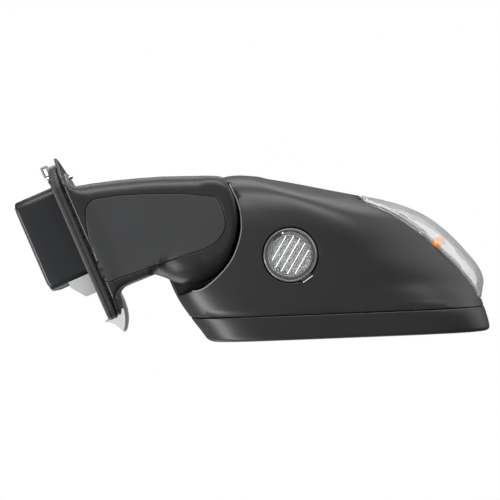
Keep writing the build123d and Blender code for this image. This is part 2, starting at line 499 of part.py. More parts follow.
for name, (qx, qz) in (("pitch", PP), ("yaw", PY)):
    pl = cyl((qx, 45.3, qz), (0, 1, 0), 2.6, gy - 45.3) + Pos(qx, gy, qz) * Sphere(3.5)
    put(name + "_plunger", pl)
    nut = cyl((qx, 44.6, qz), (0, 1, 0), 7.0, 3.4) + cyl((qx, 42.5, qz), (0, 1, 0), 4.0, 7.0)
    nut -= cyl((qx, 40, qz), (0, 1, 0), 2.66, 20)
    for k in range(18):
        nut -= Pos(qx, 46.3, qz) * Rot(0, 20 * k, 0) * Pos(7.0, 0, 0) * Box(1.2, 5, 1.0)
    put(name + "_drive_nut", nut)
# worms run past the wheels; motors beyond them
w1 = cyl((gx - 11, 46.3, gz - PLUNGER_ARM + 9.8), (1, 0, 0), 2.4, 20) + cyl((gx - 14.5, 46.3, gz - PLUNGER_ARM + 9.8), (1, 0, 0), 0.9, 26)
put("pitch_worm", w1)
w2 = cyl((gx + PLUNGER_ARM - 9.8, 46.3, gz - 10), (0, 0, 1), 2.4, 20) + cyl((gx + PLUNGER_ARM - 9.8, 46.3, gz - 11), (0, 0, 1), 0.9, 25)
put("yaw_worm", w2)
m1 = cyl((gx - 29.0, 46.3, gz - PLUNGER_ARM + 9.8), (1, 0, 0), 4.2, 14.0)
put("pitch_motor", m1 - cyl((gx - 16, 46.3, gz - PLUNGER_ARM + 9.8), (1, 0, 0), 1.3, 3))
m2 = cyl((gx + PLUNGER_ARM - 9.8, 46.3, gz + 14.4), (0, 0, 1), 4.2, 12.0)
put("yaw_motor", m2)
asc = None
for a in (60, 180, 300):
    qx, qz = gx + 38.5 * math.cos(math.radians(a)), gz + 38.5 * math.sin(math.radians(a))
    s = cyl((qx, 53.0, qz), (0, 1, 0), 3.2, 1.8) + cyl((qx, 36.0, qz), (0, 1, 0), 1.5, 17.2)
    asc = s if asc is None else asc + s
    h = cyl((qx, 30.0, qz), (0, 1, 0), 1.5, 24)
    post = cyl((qx, 41.0, qz), (0, 1, 0), 3.0, 11.0)
    NODES["actuator_housing"] = (NODES["actuator_housing"] + post) - h
    NODES["actuator_cover"] -= h
    NODES["head_frame"] -= cyl((qx, 33.0, qz), (0, 1, 0), 1.5, 6)
put("actuator_screws", asc)

# puddle lamp
lx, ly = LAMP
trim = cyl((lx, ly, -38.3), (0, 0, 1), LAMP_RING_R, 9) - cyl((lx, ly, -40), (0, 0, 1), LAMP_R + 0.2, 14)
put("puddle_trim", trim)
plens = cyl((lx, ly, -37.0), (0, 0, 1), LAMP_R, 2.4)
for k in range(-3, 3):
    plens -= Pos(lx, ly, -37.0) * Rot(0, 0, 60) * Pos(0, 5.2 * k + 2.6, 0) * Box(26, 1.4, 1.2)
put("puddle_lens", plens)
refl = Pos(lx, ly, -34.4) * Cone(LAMP_R, 9.5, 14, align=(Align.CENTER, Align.CENTER, Align.MIN))
refl -= Pos(lx, ly, -34.5) * Cone(LAMP_R - 1.4, 8.2, 12.8, align=(Align.CENTER, Align.CENTER, Align.MIN))
refl -= cyl((lx, ly, -24), (0, 0, 1), 5.2, 10)
put("puddle_reflector", refl)
pb = cyl((lx, ly, -31), (0, 0, 1), 3.4, 8) + Pos(lx, ly, -31) * Sphere(3.4)
put("puddle_bulb", pb)
psk = cyl((lx, ly, -22.9), (0, 0, 1), 5.0, 10) + cyl((lx, ly, -20.0), (0, 0, 1), 9.0, 3)
put("puddle_socket", psk)

# indicator: lens is the skin's own corner, housing behind it, bulb and socket
lens = head_skin & lens_zone
put("indicator_lens", lens)
bx, by, bz = 283.6, 15.0, 14.0
back = prism([(232.2, -16.0), (240, -10), (262, 8), (282, 28), (300, 46), (306, 46), (310, 44), (300, 32), (280, 11), (262, -4), (240, -18)], 9, 55)
hous = back & head_body(SHELL_T + 0.5, [-36, -32, -25, -15, -2, 12, 27, 40, 50, 60, 74], {-36: 8.6, -32: 6.6, -25: 5.2, -15: 4.2, -2: 3.7})
hous -= cyl((bx, by, bz + 10), (0.6, -0.8, 0), 6.5, 30)
hous -= cyl((bx - 9, by + 12, bz + 10), (0.6, -0.8, 0), 5.3, 40)
put("indicator_housing", hous)
ib = cyl((bx - 6, by + 8, bz + 10), (0.6, -0.8, 0), 4.9, 12) + Pos(bx - 6 + 7.2, by + 8 - 9.6, bz + 10) * Sphere(4.9)
put("indicator_bulb", ib)
isk = cyl((bx - 15.0, by + 20.0, bz + 10), (0.6, -0.8, 0), 7.8, 8.2) + cyl((bx - 10.2, by + 13.6, bz + 10), (0.6, -0.8, 0), 5.2, 6.9)
put("indicator_socket", isk)

sx, sy = DRAW_TO_ROW
for name, shape in NODES.items():
    s = Pos(sx, sy, 0) * shape
    solids = s.solids()
    out = Compound(children=list(solids)) if len(solids) > 1 else solids[0]
    export_step(out, "parts/" + name + ".step")
    print(name, len(solids), round(sum(q.volume for q in solids), 1))
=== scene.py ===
import json
import math
import bpy
import numpy as np
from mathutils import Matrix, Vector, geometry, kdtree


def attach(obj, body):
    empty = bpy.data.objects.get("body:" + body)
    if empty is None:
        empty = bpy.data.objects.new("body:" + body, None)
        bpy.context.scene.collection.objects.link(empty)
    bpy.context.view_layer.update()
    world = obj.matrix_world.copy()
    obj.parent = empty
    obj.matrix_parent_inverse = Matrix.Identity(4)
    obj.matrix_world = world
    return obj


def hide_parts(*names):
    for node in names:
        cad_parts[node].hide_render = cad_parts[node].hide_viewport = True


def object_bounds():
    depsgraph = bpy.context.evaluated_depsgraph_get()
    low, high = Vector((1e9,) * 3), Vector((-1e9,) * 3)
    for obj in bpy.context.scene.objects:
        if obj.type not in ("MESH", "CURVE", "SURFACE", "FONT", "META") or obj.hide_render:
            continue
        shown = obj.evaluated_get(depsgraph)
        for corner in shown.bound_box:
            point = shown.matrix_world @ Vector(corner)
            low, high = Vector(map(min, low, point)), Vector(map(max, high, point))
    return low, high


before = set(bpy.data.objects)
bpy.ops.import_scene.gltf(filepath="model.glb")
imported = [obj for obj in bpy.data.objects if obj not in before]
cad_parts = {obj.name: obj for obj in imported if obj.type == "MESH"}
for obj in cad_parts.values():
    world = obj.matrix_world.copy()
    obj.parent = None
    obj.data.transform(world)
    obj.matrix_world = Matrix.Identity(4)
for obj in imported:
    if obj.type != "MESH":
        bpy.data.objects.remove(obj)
cad_box = [list(v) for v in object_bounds()]

# ------------------------------------------------------------------ drawing frame (mm) to row frame (m)
TILT = math.radians(23.5)
DU = np.array([math.sin(TILT), math.cos(TILT), 0.0])
DV = np.array([math.cos(TILT), -math.sin(TILT), 0.0])
SHIFT = -(2.5 * DU - 33.0 * DV)
SHIFT[2] = 0.0


def row(p):
    return (np.asarray(p, float).reshape(-1, 3) + SHIFT) / 1000.0


def uvz(u, z, v):
    u, z, v = np.broadcast_arrays(np.asarray(u, float), np.asarray(z, float), np.asarray(v, float))
    p = u[..., None] * DU + v[..., None] * DV
    p[..., 2] = z
    return p.reshape(-1, 3)


# ------------------------------------------------------------------ materials
def nodes_of(name):
    m = bpy.data.materials.new(name)
    m.use_nodes = True
    nt = m.node_tree
    return m, nt, nt.nodes["Principled BSDF"]


def noise(nt, scale, detail=4.0, rough=0.6):
    tc = nt.nodes.new("ShaderNodeTexCoord")
    n = nt.nodes.new("ShaderNodeTexNoise")
    n.inputs["Scale"].default_value = scale
    n.inputs["Detail"].default_value = detail
    n.inputs["Roughness"].default_value = rough
    nt.links.new(tc.outputs["Object"], n.inputs["Vector"])
    return n


def ramp(nt, src, lo, hi, a=0.3, b=0.7):
    r = nt.nodes.new("ShaderNodeMapRange")
    r.inputs["From Min"].default_value = a
    r.inputs["From Max"].default_value = b
    r.inputs["To Min"].default_value = lo
    r.inputs["To Max"].default_value = hi
    nt.links.new(src, r.inputs["Value"])
    return r.outputs["Result"]


def plastic(name, col, rough, grain=1400.0, bump=0.12, mottle=0.25, spec=0.5, rspan=0.05, coat=0.0):
    m, nt, b = nodes_of(name)
    b.inputs["Specular IOR Level"].default_value = spec
    big = noise(nt, 18.0, 3.0)
    mix = nt.nodes.new("ShaderNodeMix")
    mix.data_type = "RGBA"
    mix.inputs[6].default_value = (*[c * (1 - mottle) for c in col], 1)
    mix.inputs[7].default_value = (*[min(1, c * (1 + mottle)) for c in col], 1)
    nt.links.new(big.outputs["Fac"], mix.inputs[0])
    nt.links.new(mix.outputs[2], b.inputs["Base Color"])
    fine = noise(nt, grain, 2.0, 0.5)
    nt.links.new(ramp(nt, fine.outputs["Fac"], rough - rspan, rough + rspan), b.inputs["Roughness"])
    bp = nt.nodes.new("ShaderNodeBump")
    bp.inputs["Strength"].default_value = bump
    bp.inputs["Distance"].default_value = 0.0002
    nt.links.new(fine.outputs["Fac"], bp.inputs["Height"])
    nt.links.new(bp.outputs["Normal"], b.inputs["Normal"])
    if coat:
        b.inputs["Coat Weight"].default_value = coat
        b.inputs["Coat Roughness"].default_value = 0.25
    return m


def metal(name, col, rough, grain=900.0, bump=0.08, brushed=False):
    m, nt, b = nodes_of(name)
    b.inputs["Metallic"].default_value = 1.0
    n = noise(nt, grain, 3.0)
    if brushed:
        mp = nt.nodes.new("ShaderNodeMapping")
        mp.inputs["Scale"].default_value = (1, 1, 22)
        tc = nt.nodes.new("ShaderNodeTexCoord")
        nt.links.new(tc.outputs["Object"], mp.inputs["Vector"])
        nt.links.new(mp.outputs["Vector"], n.inputs["Vector"])
    mix = nt.nodes.new("ShaderNodeMix")
    mix.data_type = "RGBA"
    mix.inputs[6].default_value = (*[c * 0.85 for c in col], 1)
    mix.inputs[7].default_value = (*col, 1)
    nt.links.new(n.outputs["Fac"], mix.inputs[0])
    nt.links.new(mix.outputs[2], b.inputs["Base Color"])
    nt.links.new(ramp(nt, n.outputs["Fac"], rough * 0.75, rough * 1.25), b.inputs["Roughness"])
    bp = nt.nodes.new("ShaderNodeBump")
    bp.inputs["Strength"].default_value = bump
    bp.inputs["Distance"].default_value = 0.0002
    nt.links.new(n.outputs["Fac"], bp.inputs["Height"])
    nt.links.new(bp.outputs["Normal"], b.inputs["Normal"])
    return m


def glassy(name, col, rough=0.02, ior=1.49, trans=1.0, alpha=1.0):
    m, nt, b = nodes_of(name)
    b.inputs["Transmission Weight"].default_value = trans
    b.inputs["IOR"].default_value = ior
    n = noise(nt, 60.0, 2.0)
    mix = nt.nodes.new("ShaderNodeMix")
    mix.data_type = "RGBA"
    mix.inputs[6].default_value = (*[c * 0.97 for c in col], 1)
    mix.inputs[7].default_value = (*col, 1)
    nt.links.new(n.outputs["Fac"], mix.inputs[0])
    nt.links.new(mix.outputs[2], b.inputs["Base Color"])
    nt.links.new(ramp(nt, n.outputs["Fac"], rough * 0.7, rough * 1.4), b.inputs["Roughness"])
    b.inputs["Alpha"].default_value = alpha
    return m


M = {
    "satin": plastic("satin_black_plastic", (0.0105, 0.0105, 0.0108), 0.42, bump=0.10, spec=0.36),
    "bezel": plastic("bezel_black_plastic", (0.0085, 0.0085, 0.0088), 0.44, bump=0.10, spec=0.36),
    "panel": plastic("panel_black_plastic", (0.0185, 0.0191, 0.0203), 0.47, bump=0.12),
    "matte": plastic("matte_black_plastic", (0.014, 0.014, 0.0145), 0.58, bump=0.2),
    "plug": plastic("plug_black_plastic", (0.0085, 0.009, 0.0102), 0.38, bump=0.08, spec=0.36),
    "dark": plastic("inner_dark_plastic", (0.008, 0.008, 0.008), 0.7),
    "rubber": plastic("seal_rubber", (0.013, 0.013, 0.013), 0.62, grain=600, bump=0.3),
    # locating foot: partly its own grey, partly a painted sheen of a surface seen at a grazing angle
    "foot_grey_and_sheen": plastic("grey_plastic", (0.32, 0.325, 0.33), 0.45),
    "trimgrey": plastic("satin_grey_trim", (0.055, 0.057, 0.06), 0.42),
    # painted sheen: pale grey for the sail trim, standing for black plastic seen at a grazing angle
    "sail_sheen_grey": plastic("silver_paint", (0.62, 0.62, 0.60), 0.42, grain=2200, bump=0.05, mottle=0.06, coat=0.3),
    "cast": metal("cast_metal", (0.24, 0.24, 0.25), 0.5, grain=500, bump=0.3),
    "steel": metal("turned_steel", (0.6, 0.6, 0.62), 0.3),
    "spring": metal("spring_steel", (0.7, 0.7, 0.72), 0.2),
    "brass": metal("contact_brass", (0.85, 0.65, 0.3), 0.25),
    "nylon": plastic("natural_nylon", (0.72, 0.70, 0.64), 0.4),
    "mirror": metal("mirror_glass_silver", (0.93, 0.95, 0.97), 0.012, grain=40, bump=0.0),
    "heater": plastic("heater_film", (0.35, 0.2, 0.08), 0.4),
    "lens": glassy("clear_lens", (0.985, 0.99, 0.99), 0.05, 1.42, trans=0.86),
    "plens": glassy("puddle_clear_lens", (0.95, 0.96, 0.96), 0.10, 1.45),
    "amber": glassy("amber_glass", (0.85, 0.27, 0.004), 0.12, 1.45, trans=0.10),
    "bulbglass": glassy("bulb_glass", (0.98, 0.98, 0.98), 0.02),
    "chrome": metal("bright_reflector", (0.9, 0.9, 0.9), 0.16, grain=300, bump=0.05),
    "ringdark": plastic("dark_lamp_ring", (0.085, 0.09, 0.092), 0.16, bump=0.02, grain=500, coat=0.6),
    # painted highlight: light grey for the tube along the edge of the arm recess
    "painted_rim_highlight": plastic("painted_rim_highlight_grey", (0.16, 0.16, 0.165), 0.35),
    # painted highlights: near-white material for tubes and tabs that stand for bright edge lines and glints
    "painted_highlight_white": plastic("painted_highlight_white_plastic", (0.85, 0.86, 0.86), 0.15, bump=0.02, mottle=0.03, coat=0.5),
    "lampback": plastic("lamp_back_grey", (0.50, 0.505, 0.50), 0.25, mottle=0.3, grain=400, bump=0.1),
    "lampgrey": plastic("lamp_reflector_grey", (0.50, 0.505, 0.50), 0.34, mottle=0.04, grain=700),
}

CAD_MAT = {
    "base_bracket": "cast", "harness_socket": "matte", "harness_pins": "brass", "locating_foot": "foot_grey_and_sheen",
    "retaining_clip": "spring", "cover_screws": "steel", "pivot_tube": "steel", "detent_ring": "steel",
    "fold_gear": "steel", "fold_spring": "spring", "spring_retainer": "steel", "head_frame": "dark",
    "fold_gearbox": "dark", "fold_worm": "steel", "fold_motor": "steel", "actuator_housing": "dark",
    "actuator_cover": "dark", "gimbal": "nylon", "glass_carrier": "matte", "heater_pad": "heater",
    "mirror_glass": "mirror", "pitch_plunger": "nylon", "yaw_plunger": "nylon", "pitch_drive_nut": "nylon",
    "yaw_drive_nut": "nylon", "pitch_worm": "steel", "yaw_worm": "steel", "pitch_motor": "steel", "yaw_motor": "steel",
    "actuator_screws": "steel", "puddle_trim": "trimgrey", "puddle_lens": "plens", "puddle_reflector": "chrome",
    "puddle_bulb": "bulbglass", "puddle_socket": "dark", "indicator_lens": "lens", "indicator_housing": "lampgrey",
    "indicator_bulb": "amber", "indicator_socket": "dark", "door_seal": "rubber", "plug_shroud": "plug",
    "arm_cover": "satin", "arm_panel": "panel", "sail_trim": "sail_sheen_grey", "lower_shell": "satin", "upper_cover": "satin",
    "rear_bezel": "bezel",
}
for n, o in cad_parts.items():
    mat = M[CAD_MAT.get(n, "matte")]
    o.data.materials.clear()
    o.data.materials.append(mat)
    if n in ("locating_foot", "retaining_clip", "harness_socket", "base_bracket", "actuator_housing", "head_frame"):
        bv = o.modifiers.new("edge", "BEVEL")
        bv.width = 0.0005 if n != "locating_foot" else 0.003
        bv.segments = 2 if n != "locating_foot" else 5
        bv.limit_method = "ANGLE"
        bv.angle_limit = math.radians(40)


def add_mesh(name, verts, faces, mat, body, replaces=(), smooth=True, auto=None):
    me = bpy.data.meshes.new(name)
    me.from_pydata([tuple(v) for v in row(verts)], [], [tuple(int(i) for i in f) for f in faces])
    me.update()
    me.validate()
    ob = bpy.data.objects.new(name, me)
    bpy.context.scene.collection.objects.link(ob)
    ob.data.materials.append(M[mat])
    for p in me.polygons:
        p.use_smooth = smooth
    if auto is not None:
        me.set_sharp_from_angle(angle=math.radians(auto))
    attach(ob, body)
    if replaces:
        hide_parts(*replaces)
    return ob


# ------------------------------------------------------------------ head form
def pchip(table):
    x = np.array([p[0] for p in table], float)
    y = np.array([p[1] for p in table], float)
    h = np.diff(x)
    d = np.diff(y) / h
    m = np.zeros(len(x))
    m[0], m[-1] = d[0], d[-1]
    for i in range(1, len(x) - 1):
        if d[i - 1] * d[i] > 0:
            w1, w2 = 2 * h[i] + h[i - 1], h[i] + 2 * h[i - 1]
            m[i] = (w1 + w2) / (w1 / d[i - 1] + w2 / d[i])

    def f(q):
        q = np.clip(np.asarray(q, float), x[0], x[-1])
        i = np.clip(np.searchsorted(x, q, side="right") - 1, 0, len(x) - 2)
        t = (q - x[i]) / h[i]
        return ((1 + 2 * t) * (1 - t) ** 2 * y[i] + t * (1 - t) ** 2 * h[i] * m[i]
                + t * t * (3 - 2 * t) * y[i + 1] + t * t * (t - 1) * h[i] * m[i + 1])
    return f


XI = pchip([(-41.2, 124), (-40.6, 119), (-39, 113), (-36, 105), (-30, 94), (-22, 84), (-10, 74.5), (2, 69.5), (14, 67.7),
            (26, 68.8), (34, 70.8), (42, 74), (50, 77.6), (58, 82), (66, 87.5), (74, 93.5), (80, 98.3), (92, 107)])
XO = pchip([(-41.2, 133), (-40.6, 143), (-39, 150), (-36, 168), (-30, 200), (-25, 227), (-20, 250), (-13.3, 269),
            (-7.9, 279.4), (-1.1, 289), (7.3, 298.6), (17.7, 308.2), (29.2, 317.8), (36, 321.5), (42, 322.8), (48, 321.5),
            (54, 319.8), (60, 320.8), (68, 322.8), (74, 324.2), (80, 324.8), (92, 324)])
ZB = pchip([(-41.2, 22), (-40.6, 13), (-39, 1), (-36, -11), (-30, -22.5), (-22, -30), (-10, -35), (2, -37.3), (14, -38), (92, -38)])
ZT = pchip([(-41.2, 40), (-40.6, 47), (-39, 58), (-36, 68), (-30, 80), (-22, 90), (-10, 99), (2, 105), (14, 108.5),
            (30, 111), (60, 112), (92, 110)])
ZM = pchip([(-41.2, 32), (-36, 34), (-22, 40), (0, 45), (92, 45)])
NOL = pchip([(-41.2, 2.0), (-20, 2.2), (40, 2.3), (54, 2.9), (66, 3.9), (92, 4.4)])
NIL = pchip([(-41.2, 2.0), (-20, 2.4), (20, 3.4), (50, 4.6), (92, 5.0)])
NUP = pchip([(-41.2, 2.0), (-20, 2.2), (20, 2.8), (60, 3.8), (92, 4.4)])
LEAN = pchip([(-41.2, 0.34), (-20, 0.34), (-9, 0.28), (10, 0.25), (30, 0.15), (42, 0.08), (54, 0.0), (92, 0.0)])


def head_pt(phi, y, inset=0.0):
    """Head skin at section y and polar angle phi in degrees (0 outboard, 90 top, 180 inboard, 270 bottom)."""
    phi, y = np.broadcast_arrays(np.asarray(phi, float), np.asarray(y, float))
    xi, xo = XI(y) + inset, XO(y) - inset
    zb, zt = ZB(y) + inset, ZT(y) - inset
    xm, zm = (xi + xo) / 2, np.minimum(np.maximum(ZM(y), zb + 1), zt - 1)
    p = np.radians(phi)
    c, s = np.cos(p), np.sin(p)
    n = np.where(s >= 0, NUP(y), np.where(c >= 0, NOL(y), NIL(y)))
    r = (np.abs(c) ** n + np.abs(s) ** n) ** (-1 / n)
    b = np.where(s >= 0, zt - zm, zm - zb)
    dx, dz = (xo - xi) / 2 * r * c, b * r * s
    t = np.clip(-dz / b, 0, 1)
    dx = np.where((s < 0) & (c > 0), dx * (1 - LEAN(y) * t * t * (3 - 2 * t)), dx)
    return np.stack([xm + dx, y, zm + dz], -1)


def head_n(phi, y):
    e = 0.25
    phi, y = np.asarray(phi, float), np.asarray(y, float)
    a = head_pt(phi + e, y) - head_pt(phi - e, y)
    y1, y0 = np.minimum(y + 0.12, 91.9), np.maximum(y - 0.12, -41.19)
    b = head_pt(phi, y1) - head_pt(phi, y0)
    n = np.cross(b, a)
    n /= np.linalg.norm(n, axis=-1, keepdims=True) + 1e-12
    return n


# q: length along the head from the nose, so that sections crowd together at the nose
_yy = np.concatenate([np.linspace(-41.2, -36, 400), np.linspace(-36, 92, 900)[1:]])
_dz = np.gradient(ZB(_yy), _yy) * 0.8
_q = np.concatenate([[0], np.cumsum(np.hypot(np.diff(_yy), 0.5 * (_dz[1:] + _dz[:-1]) * np.diff(_yy)))])
KP = 1.75   # mm per degree in the flat domain


def q_of(y):
    return np.interp(y, _yy, _q)


def y_of(q):
    return np.interp(q, _q, _yy)


def head_surf(ab):
    ab = np.asarray(ab, float)
    phi, y = ab[:, 0] / KP, y_of(ab[:, 1])
    return head_pt(phi, y), head_n(phi, y)


def phi_at(x, y, half="low"):
    """Angle at which the section at y has that x, in the lower (180..360) or upper (0..180) half."""
    lo, hi = (181.0, 359.0) if half == "low" else (179.0, 1.0)
    for _ in range(50):
        mid = (lo + hi) / 2
        if head_pt(mid, y)[0] < x:
            lo = mid
        else:
            hi = mid
    return (lo + hi) / 2


def phi_z(z, y, lo, hi):
    """Angle between lo and hi at which the section at y has that z (z rises from lo to hi)."""
    for _ in range(50):
        mid = (lo + hi) / 2
        if head_pt(mid, y)[2] < z:
            lo = mid
        else:
            hi = mid
    return (lo + hi) / 2


def resample(pts, step):
    pts = np.asarray(pts, float)
    seg = np.linalg.norm(np.diff(pts, axis=0), axis=1)
    s = np.concatenate([[0], np.cumsum(seg)])
    n = max(2, int(round(s[-1] / step)) + 1)
    t = np.linspace(0, s[-1], n)
    return np.stack([np.interp(t, s, pts[:, i]) for i in range(pts.shape[1])], -1)


def closed(pts, step):
    pts = np.asarray(pts, float)
    return resample(np.vstack([pts, pts[:1]]), step)[:-1]


def smooth_closed(pts, step, it=2):
    p = np.asarray(pts, float)
    for _ in range(it):
        q = np.roll(p, -1, 0)
        p = np.stack([0.75 * p + 0.25 * q, 0.25 * p + 0.75 * q], 1).reshape(-1, p.shape[1])
    return closed(p, step)


def inside(pts, loops):
    """Even-odd test."""
    res = np.zeros(len(pts), bool)
    x, y = pts[:, 0], pts[:, 1]
    for L in loops:
        a, b = L, np.roll(L, -1, 0)
        for (ax, ay), (bx, by) in zip(a, b):
            if ay == by:
                continue
            c = (ay > y) != (by > y)
            if c.any():
                xx = (bx - ax) * (y - ay) / (by - ay) + ax
                res ^= c & (x < xx)
    return res


def loop_normals(L, loops):
    """Inward unit normals of one loop of a region."""
    t = np.roll(L, -1, 0) - np.roll(L, 1, 0)
    t /= np.linalg.norm(t, axis=1, keepdims=True) + 1e-12
    n = np.stack([-t[:, 1], t[:, 0]], -1)
    probe = L[::max(1, len(L) // 40)] + n[::max(1, len(L) // 40)] * 0.05
    if inside(probe, loops).mean() < 0.5:
        n = -n
    return n


def offset_loop(L, d, loops=None):
    n = loop_normals(L, loops or [L])
    return L + n * d


def patch(name, loops, surf, step, mat, body, replaces=(), roll=0.7, depth=3.0, no_roll=None, cap=None,
          heights=None, extra=None, skirt=True, thick=None):
    """A panel cut from a surface: triangulated in a flat domain, with its edges rolled inwards and a skirt behind them."""
    th = np.radians([0, 25, 48, 70, 90])
    ringd = [roll * (1 - math.cos(t)) for t in th[1:]] + [roll * 1.8, roll * 1.8 + step * 0.5]
    pts, edges, base = [], [], 0
    bnd3 = []
    flags = []
    for L in loops:
        n = len(L)
        pts.append(L)
        edges += [(base + i, base + (i + 1) % n) for i in range(n)]
        base += n
    allb = np.vstack(pts)
    P0, _ = surf(allb)
    rollok = np.ones(len(allb), bool) if no_roll is None else ~no_roll(P0)
    dense = []
    k = 0
    for L in loops:
        n = len(L)
        ok = rollok[k:k + n]
        PL = P0[k:k + n]
        for i in range(n):
            j = (i + 1) % n
            if ok[i] and ok[j]:
                m = max(1, int(np.linalg.norm(PL[j] - PL[i]) / 0.35))
                for w in range(m):
                    f = w / m
                    dense.append(surf((L[i] * (1 - f) + L[j] * f)[None])[0][0] if m < 2 else PL[i] * (1 - f) + PL[j] * f)
        k += n
    kd = kdtree.KDTree(max(1, len(dense)))
    for i, p in enumerate(dense):
        kd.insert(p, i)
    kd.balance()

    def dist(P):
        return np.array([kd.find(p)[2] if dense else 1e9 for p in P])

    ring = []
    for L in loops:
        n = loop_normals(L, loops)
        e = 0.02
        PL, _ = surf(L)
        PE, _ = surf(L + n * e)
        sc = np.linalg.norm(PE - PL, axis=1) / e
        for d in ringd:
            c = L + n * (d / np.maximum(sc, 0.15))[:, None]
            ok = inside(c, loops)
            c = c[ok]
            if len(c):
                dd = dist(surf(c)[0])
                ring.append(c[dd > d * 0.93])
    lo, hi = allb.min(0), allb.max(0)
    gx, gy = np.meshgrid(np.arange(lo[0] + step / 2, hi[0], step), np.arange(lo[1] + step / 2, hi[1], step))
    g = np.stack([gx.ravel(), gy.ravel()], -1)
    g = g[inside(g, loops)]
    if len(g):
        g = g[dist(surf(g)[0]) > roll * 1.8 + step * 0.75]
        # keep off edges that have no roll too
        kd2 = kdtree.KDTree(len(allb))
        for i, p in enumerate(allb):
            kd2.insert((p[0], p[1], 0), i)
        kd2.balance()
        g = g[np.array([kd2.find((p[0], p[1], 0))[2] > step * 0.55 for p in g])] if len(g) else g
    more = ring + [g] + ([extra] if extra is not None else [])
    V = np.vstack([allb] + [m for m in more if len(m)])
    out = geometry.delaunay_2d_cdt([Vector(v) for v in V], edges, [], 0, 1e-5)
    ov = np.array([[v[0], v[1]] for v in out[0]])
    tri = np.array([f for f in out[2] if len(f) == 3])
    cen = ov[tri].mean(1)
    tri = tri[inside(cen, loops)]
    orig = out[3]
    back = {}
    for i, src in enumerate(orig):
        for s in src:
            back[s] = i
    P, N = surf(ov)
    d = dist(P)
    if heights is None:
        delta = np.where(d < roll, roll - np.sqrt(np.maximum(roll ** 2 - (roll - np.minimum(d, roll)) ** 2, 0)), 0.0)
        P2 = P - N * delta[:, None]
    else:
        P2 = heights(P, N, d)
    # face orientation follows the surface normal
    f0 = np.cross(P2[tri[:, 1]] - P2[tri[:, 0]], P2[tri[:, 2]] - P2[tri[:, 0]])
    flip = (f0 * N[tri[:, 0]]).sum(1) < 0
    tri[flip] = tri[flip][:, ::-1]
    verts = [P2]
    faces = [tuple(t) for t in tri]
    nv = len(P2)
    if skirt:
        k = 0
        for L in loops:
            n = len(L)
            idx = [back.get(k + i) for i in range(n)]
            ok = [i is not None for i in idx]
            src = [i for i in idx if i is not None]
            deep = P[src] - N[src] * depth
            m = len(src)
            okr = rollok[[k + i for i in range(n) if idx[i] is not None]]
            verts.append(deep)
            # orientation test: the skirt faces away from the panel
            nl = loop_normals(L, loops)
            for i in range(m):
                j = (i + 1) % m
                if not (okr[i] and okr[j]):
                    continue
                a, b2, c, e2 = src[i], src[j], nv + j, nv + i
                fn = np.cross(P2[b2] - P2[a], deep[j] - P2[a])
                io = surf((L[i % n] + nl[i % n] * 0.3)[None])[0][0] - surf(L[i % n][None])[0][0]
                if np.dot(fn, io) > 0:
                    faces.append((a, e2, c, b2))
                else:
                    faces.append((a, b2, c, e2))
            nv += m
            k += n
    if cap is not None:
        tip, idxs = cap
        verts.append(np.asarray(tip, float).reshape(1, 3))
        ids = [back[i] for i in idxs if i in back]
        for a, b2 in zip(ids, ids[1:]):
            fn = np.cross(P2[b2] - P2[a], np.asarray(tip) - P2[a])
            if fn[1] < 0:
                faces.append((a, b2, nv))
            else:
                faces.append((b2, a, nv))
        nv += 1
    ob = add_mesh(name, np.vstack(verts), faces, mat, body, replaces)
    if thick:
        so = ob.modifiers.new("wall", "SOLIDIFY")
        so.thickness = thick / 1000
        so.offset = -1
    return ob


# ------------------------------------------------------------------ panel outlines on the head
SLOPE = 0.04


def on_plane(phi, y126, it=12):
    """Section at which the skin at angle phi meets the sloping plane through (126, y126)."""
    y = np.full_like(np.asarray(phi, float), y126)
    for _ in range(it):
        y = y126 - SLOPE * (head_pt(phi, y)[..., 0] - 126)
    return y


SEAM, REAR = 68.4, 87.3
G = 0.3                       # half of a panel gap
LENS_LOW = [(224.4, -21.5), (230.6, -19.9), (238.4, -17.2), (246.2, -13.7), (254.0, -9.4), (261.8, -4.6), (268.4, 0.0),
            (270.4, 4.4), (277.4, 10.5), (285.2, 17.5), (293.0, 25.3), (300.8, 33.1), (308.6, 41.7), (313.0, 48.4), (315.2, 54.6)]
SHELL_LOW = [(223.6, -21.2), (229.0, -18.6), (238.4, -14.2), (246.2, -10.2), (254.0, -5.4), (261.8, 0.0), (268.8, 4.6),
             (277.0, 11.0), (284.7, 18.0), (292.4, 25.8), (300.2, 33.6), (307.9, 42.1), (312.3, 48.8), (314.6, 55.2)]


def plan_low(pts, step=1.2):
    """Plan points on the underside, as (KP*phi, q)."""
    p = resample(np.array(pts, float), step)
    return np.array([[phi_at(x, y) * KP, q_of(y)] for x, y in p])


def side_line(x, ph0, ph1, n=14):
    """Where the front skin has that x, between two angles."""
    out = []
    for ph in np.linspace(ph0, ph1, n):
        lo, hi = -40.0, 20.0
        for _ in range(40):
            mid = (lo + hi) / 2
            if head_pt(ph, mid)[0] < x:
                lo = mid
            else:
                hi = mid
        out.append([ph * KP, q_of((lo + hi) / 2)])
    return np.array(out)


def lens_loop(low, x0, y1, ztop, grow=0.0):
    lo = plan_low(low)
    ys = np.linspace(y1, -20.0, 60)
    top = np.array([[(360 + phi_z(ztop, y, -5.0, 89.0)) * KP, q_of(y)] for y in ys])
    # cut the top line where x falls under x0
    tp = head_surf(top)[0]
    top = top[tp[:, 0] > x0 + 0.5]
    ph0, ph1 = lo[0, 0] / KP, top[-1, 0] / KP
    start = side_line(x0, ph1, ph0, 18)
    pe0, pe1 = lo[-1, 0] / KP, top[0, 0] / KP
    end = np.array([[p * KP, q_of(y1)] for p in np.linspace(pe0, pe1, 24)])
    return lo, end, top, start


PH_OUT, PH_IN = 363.0, 177.0
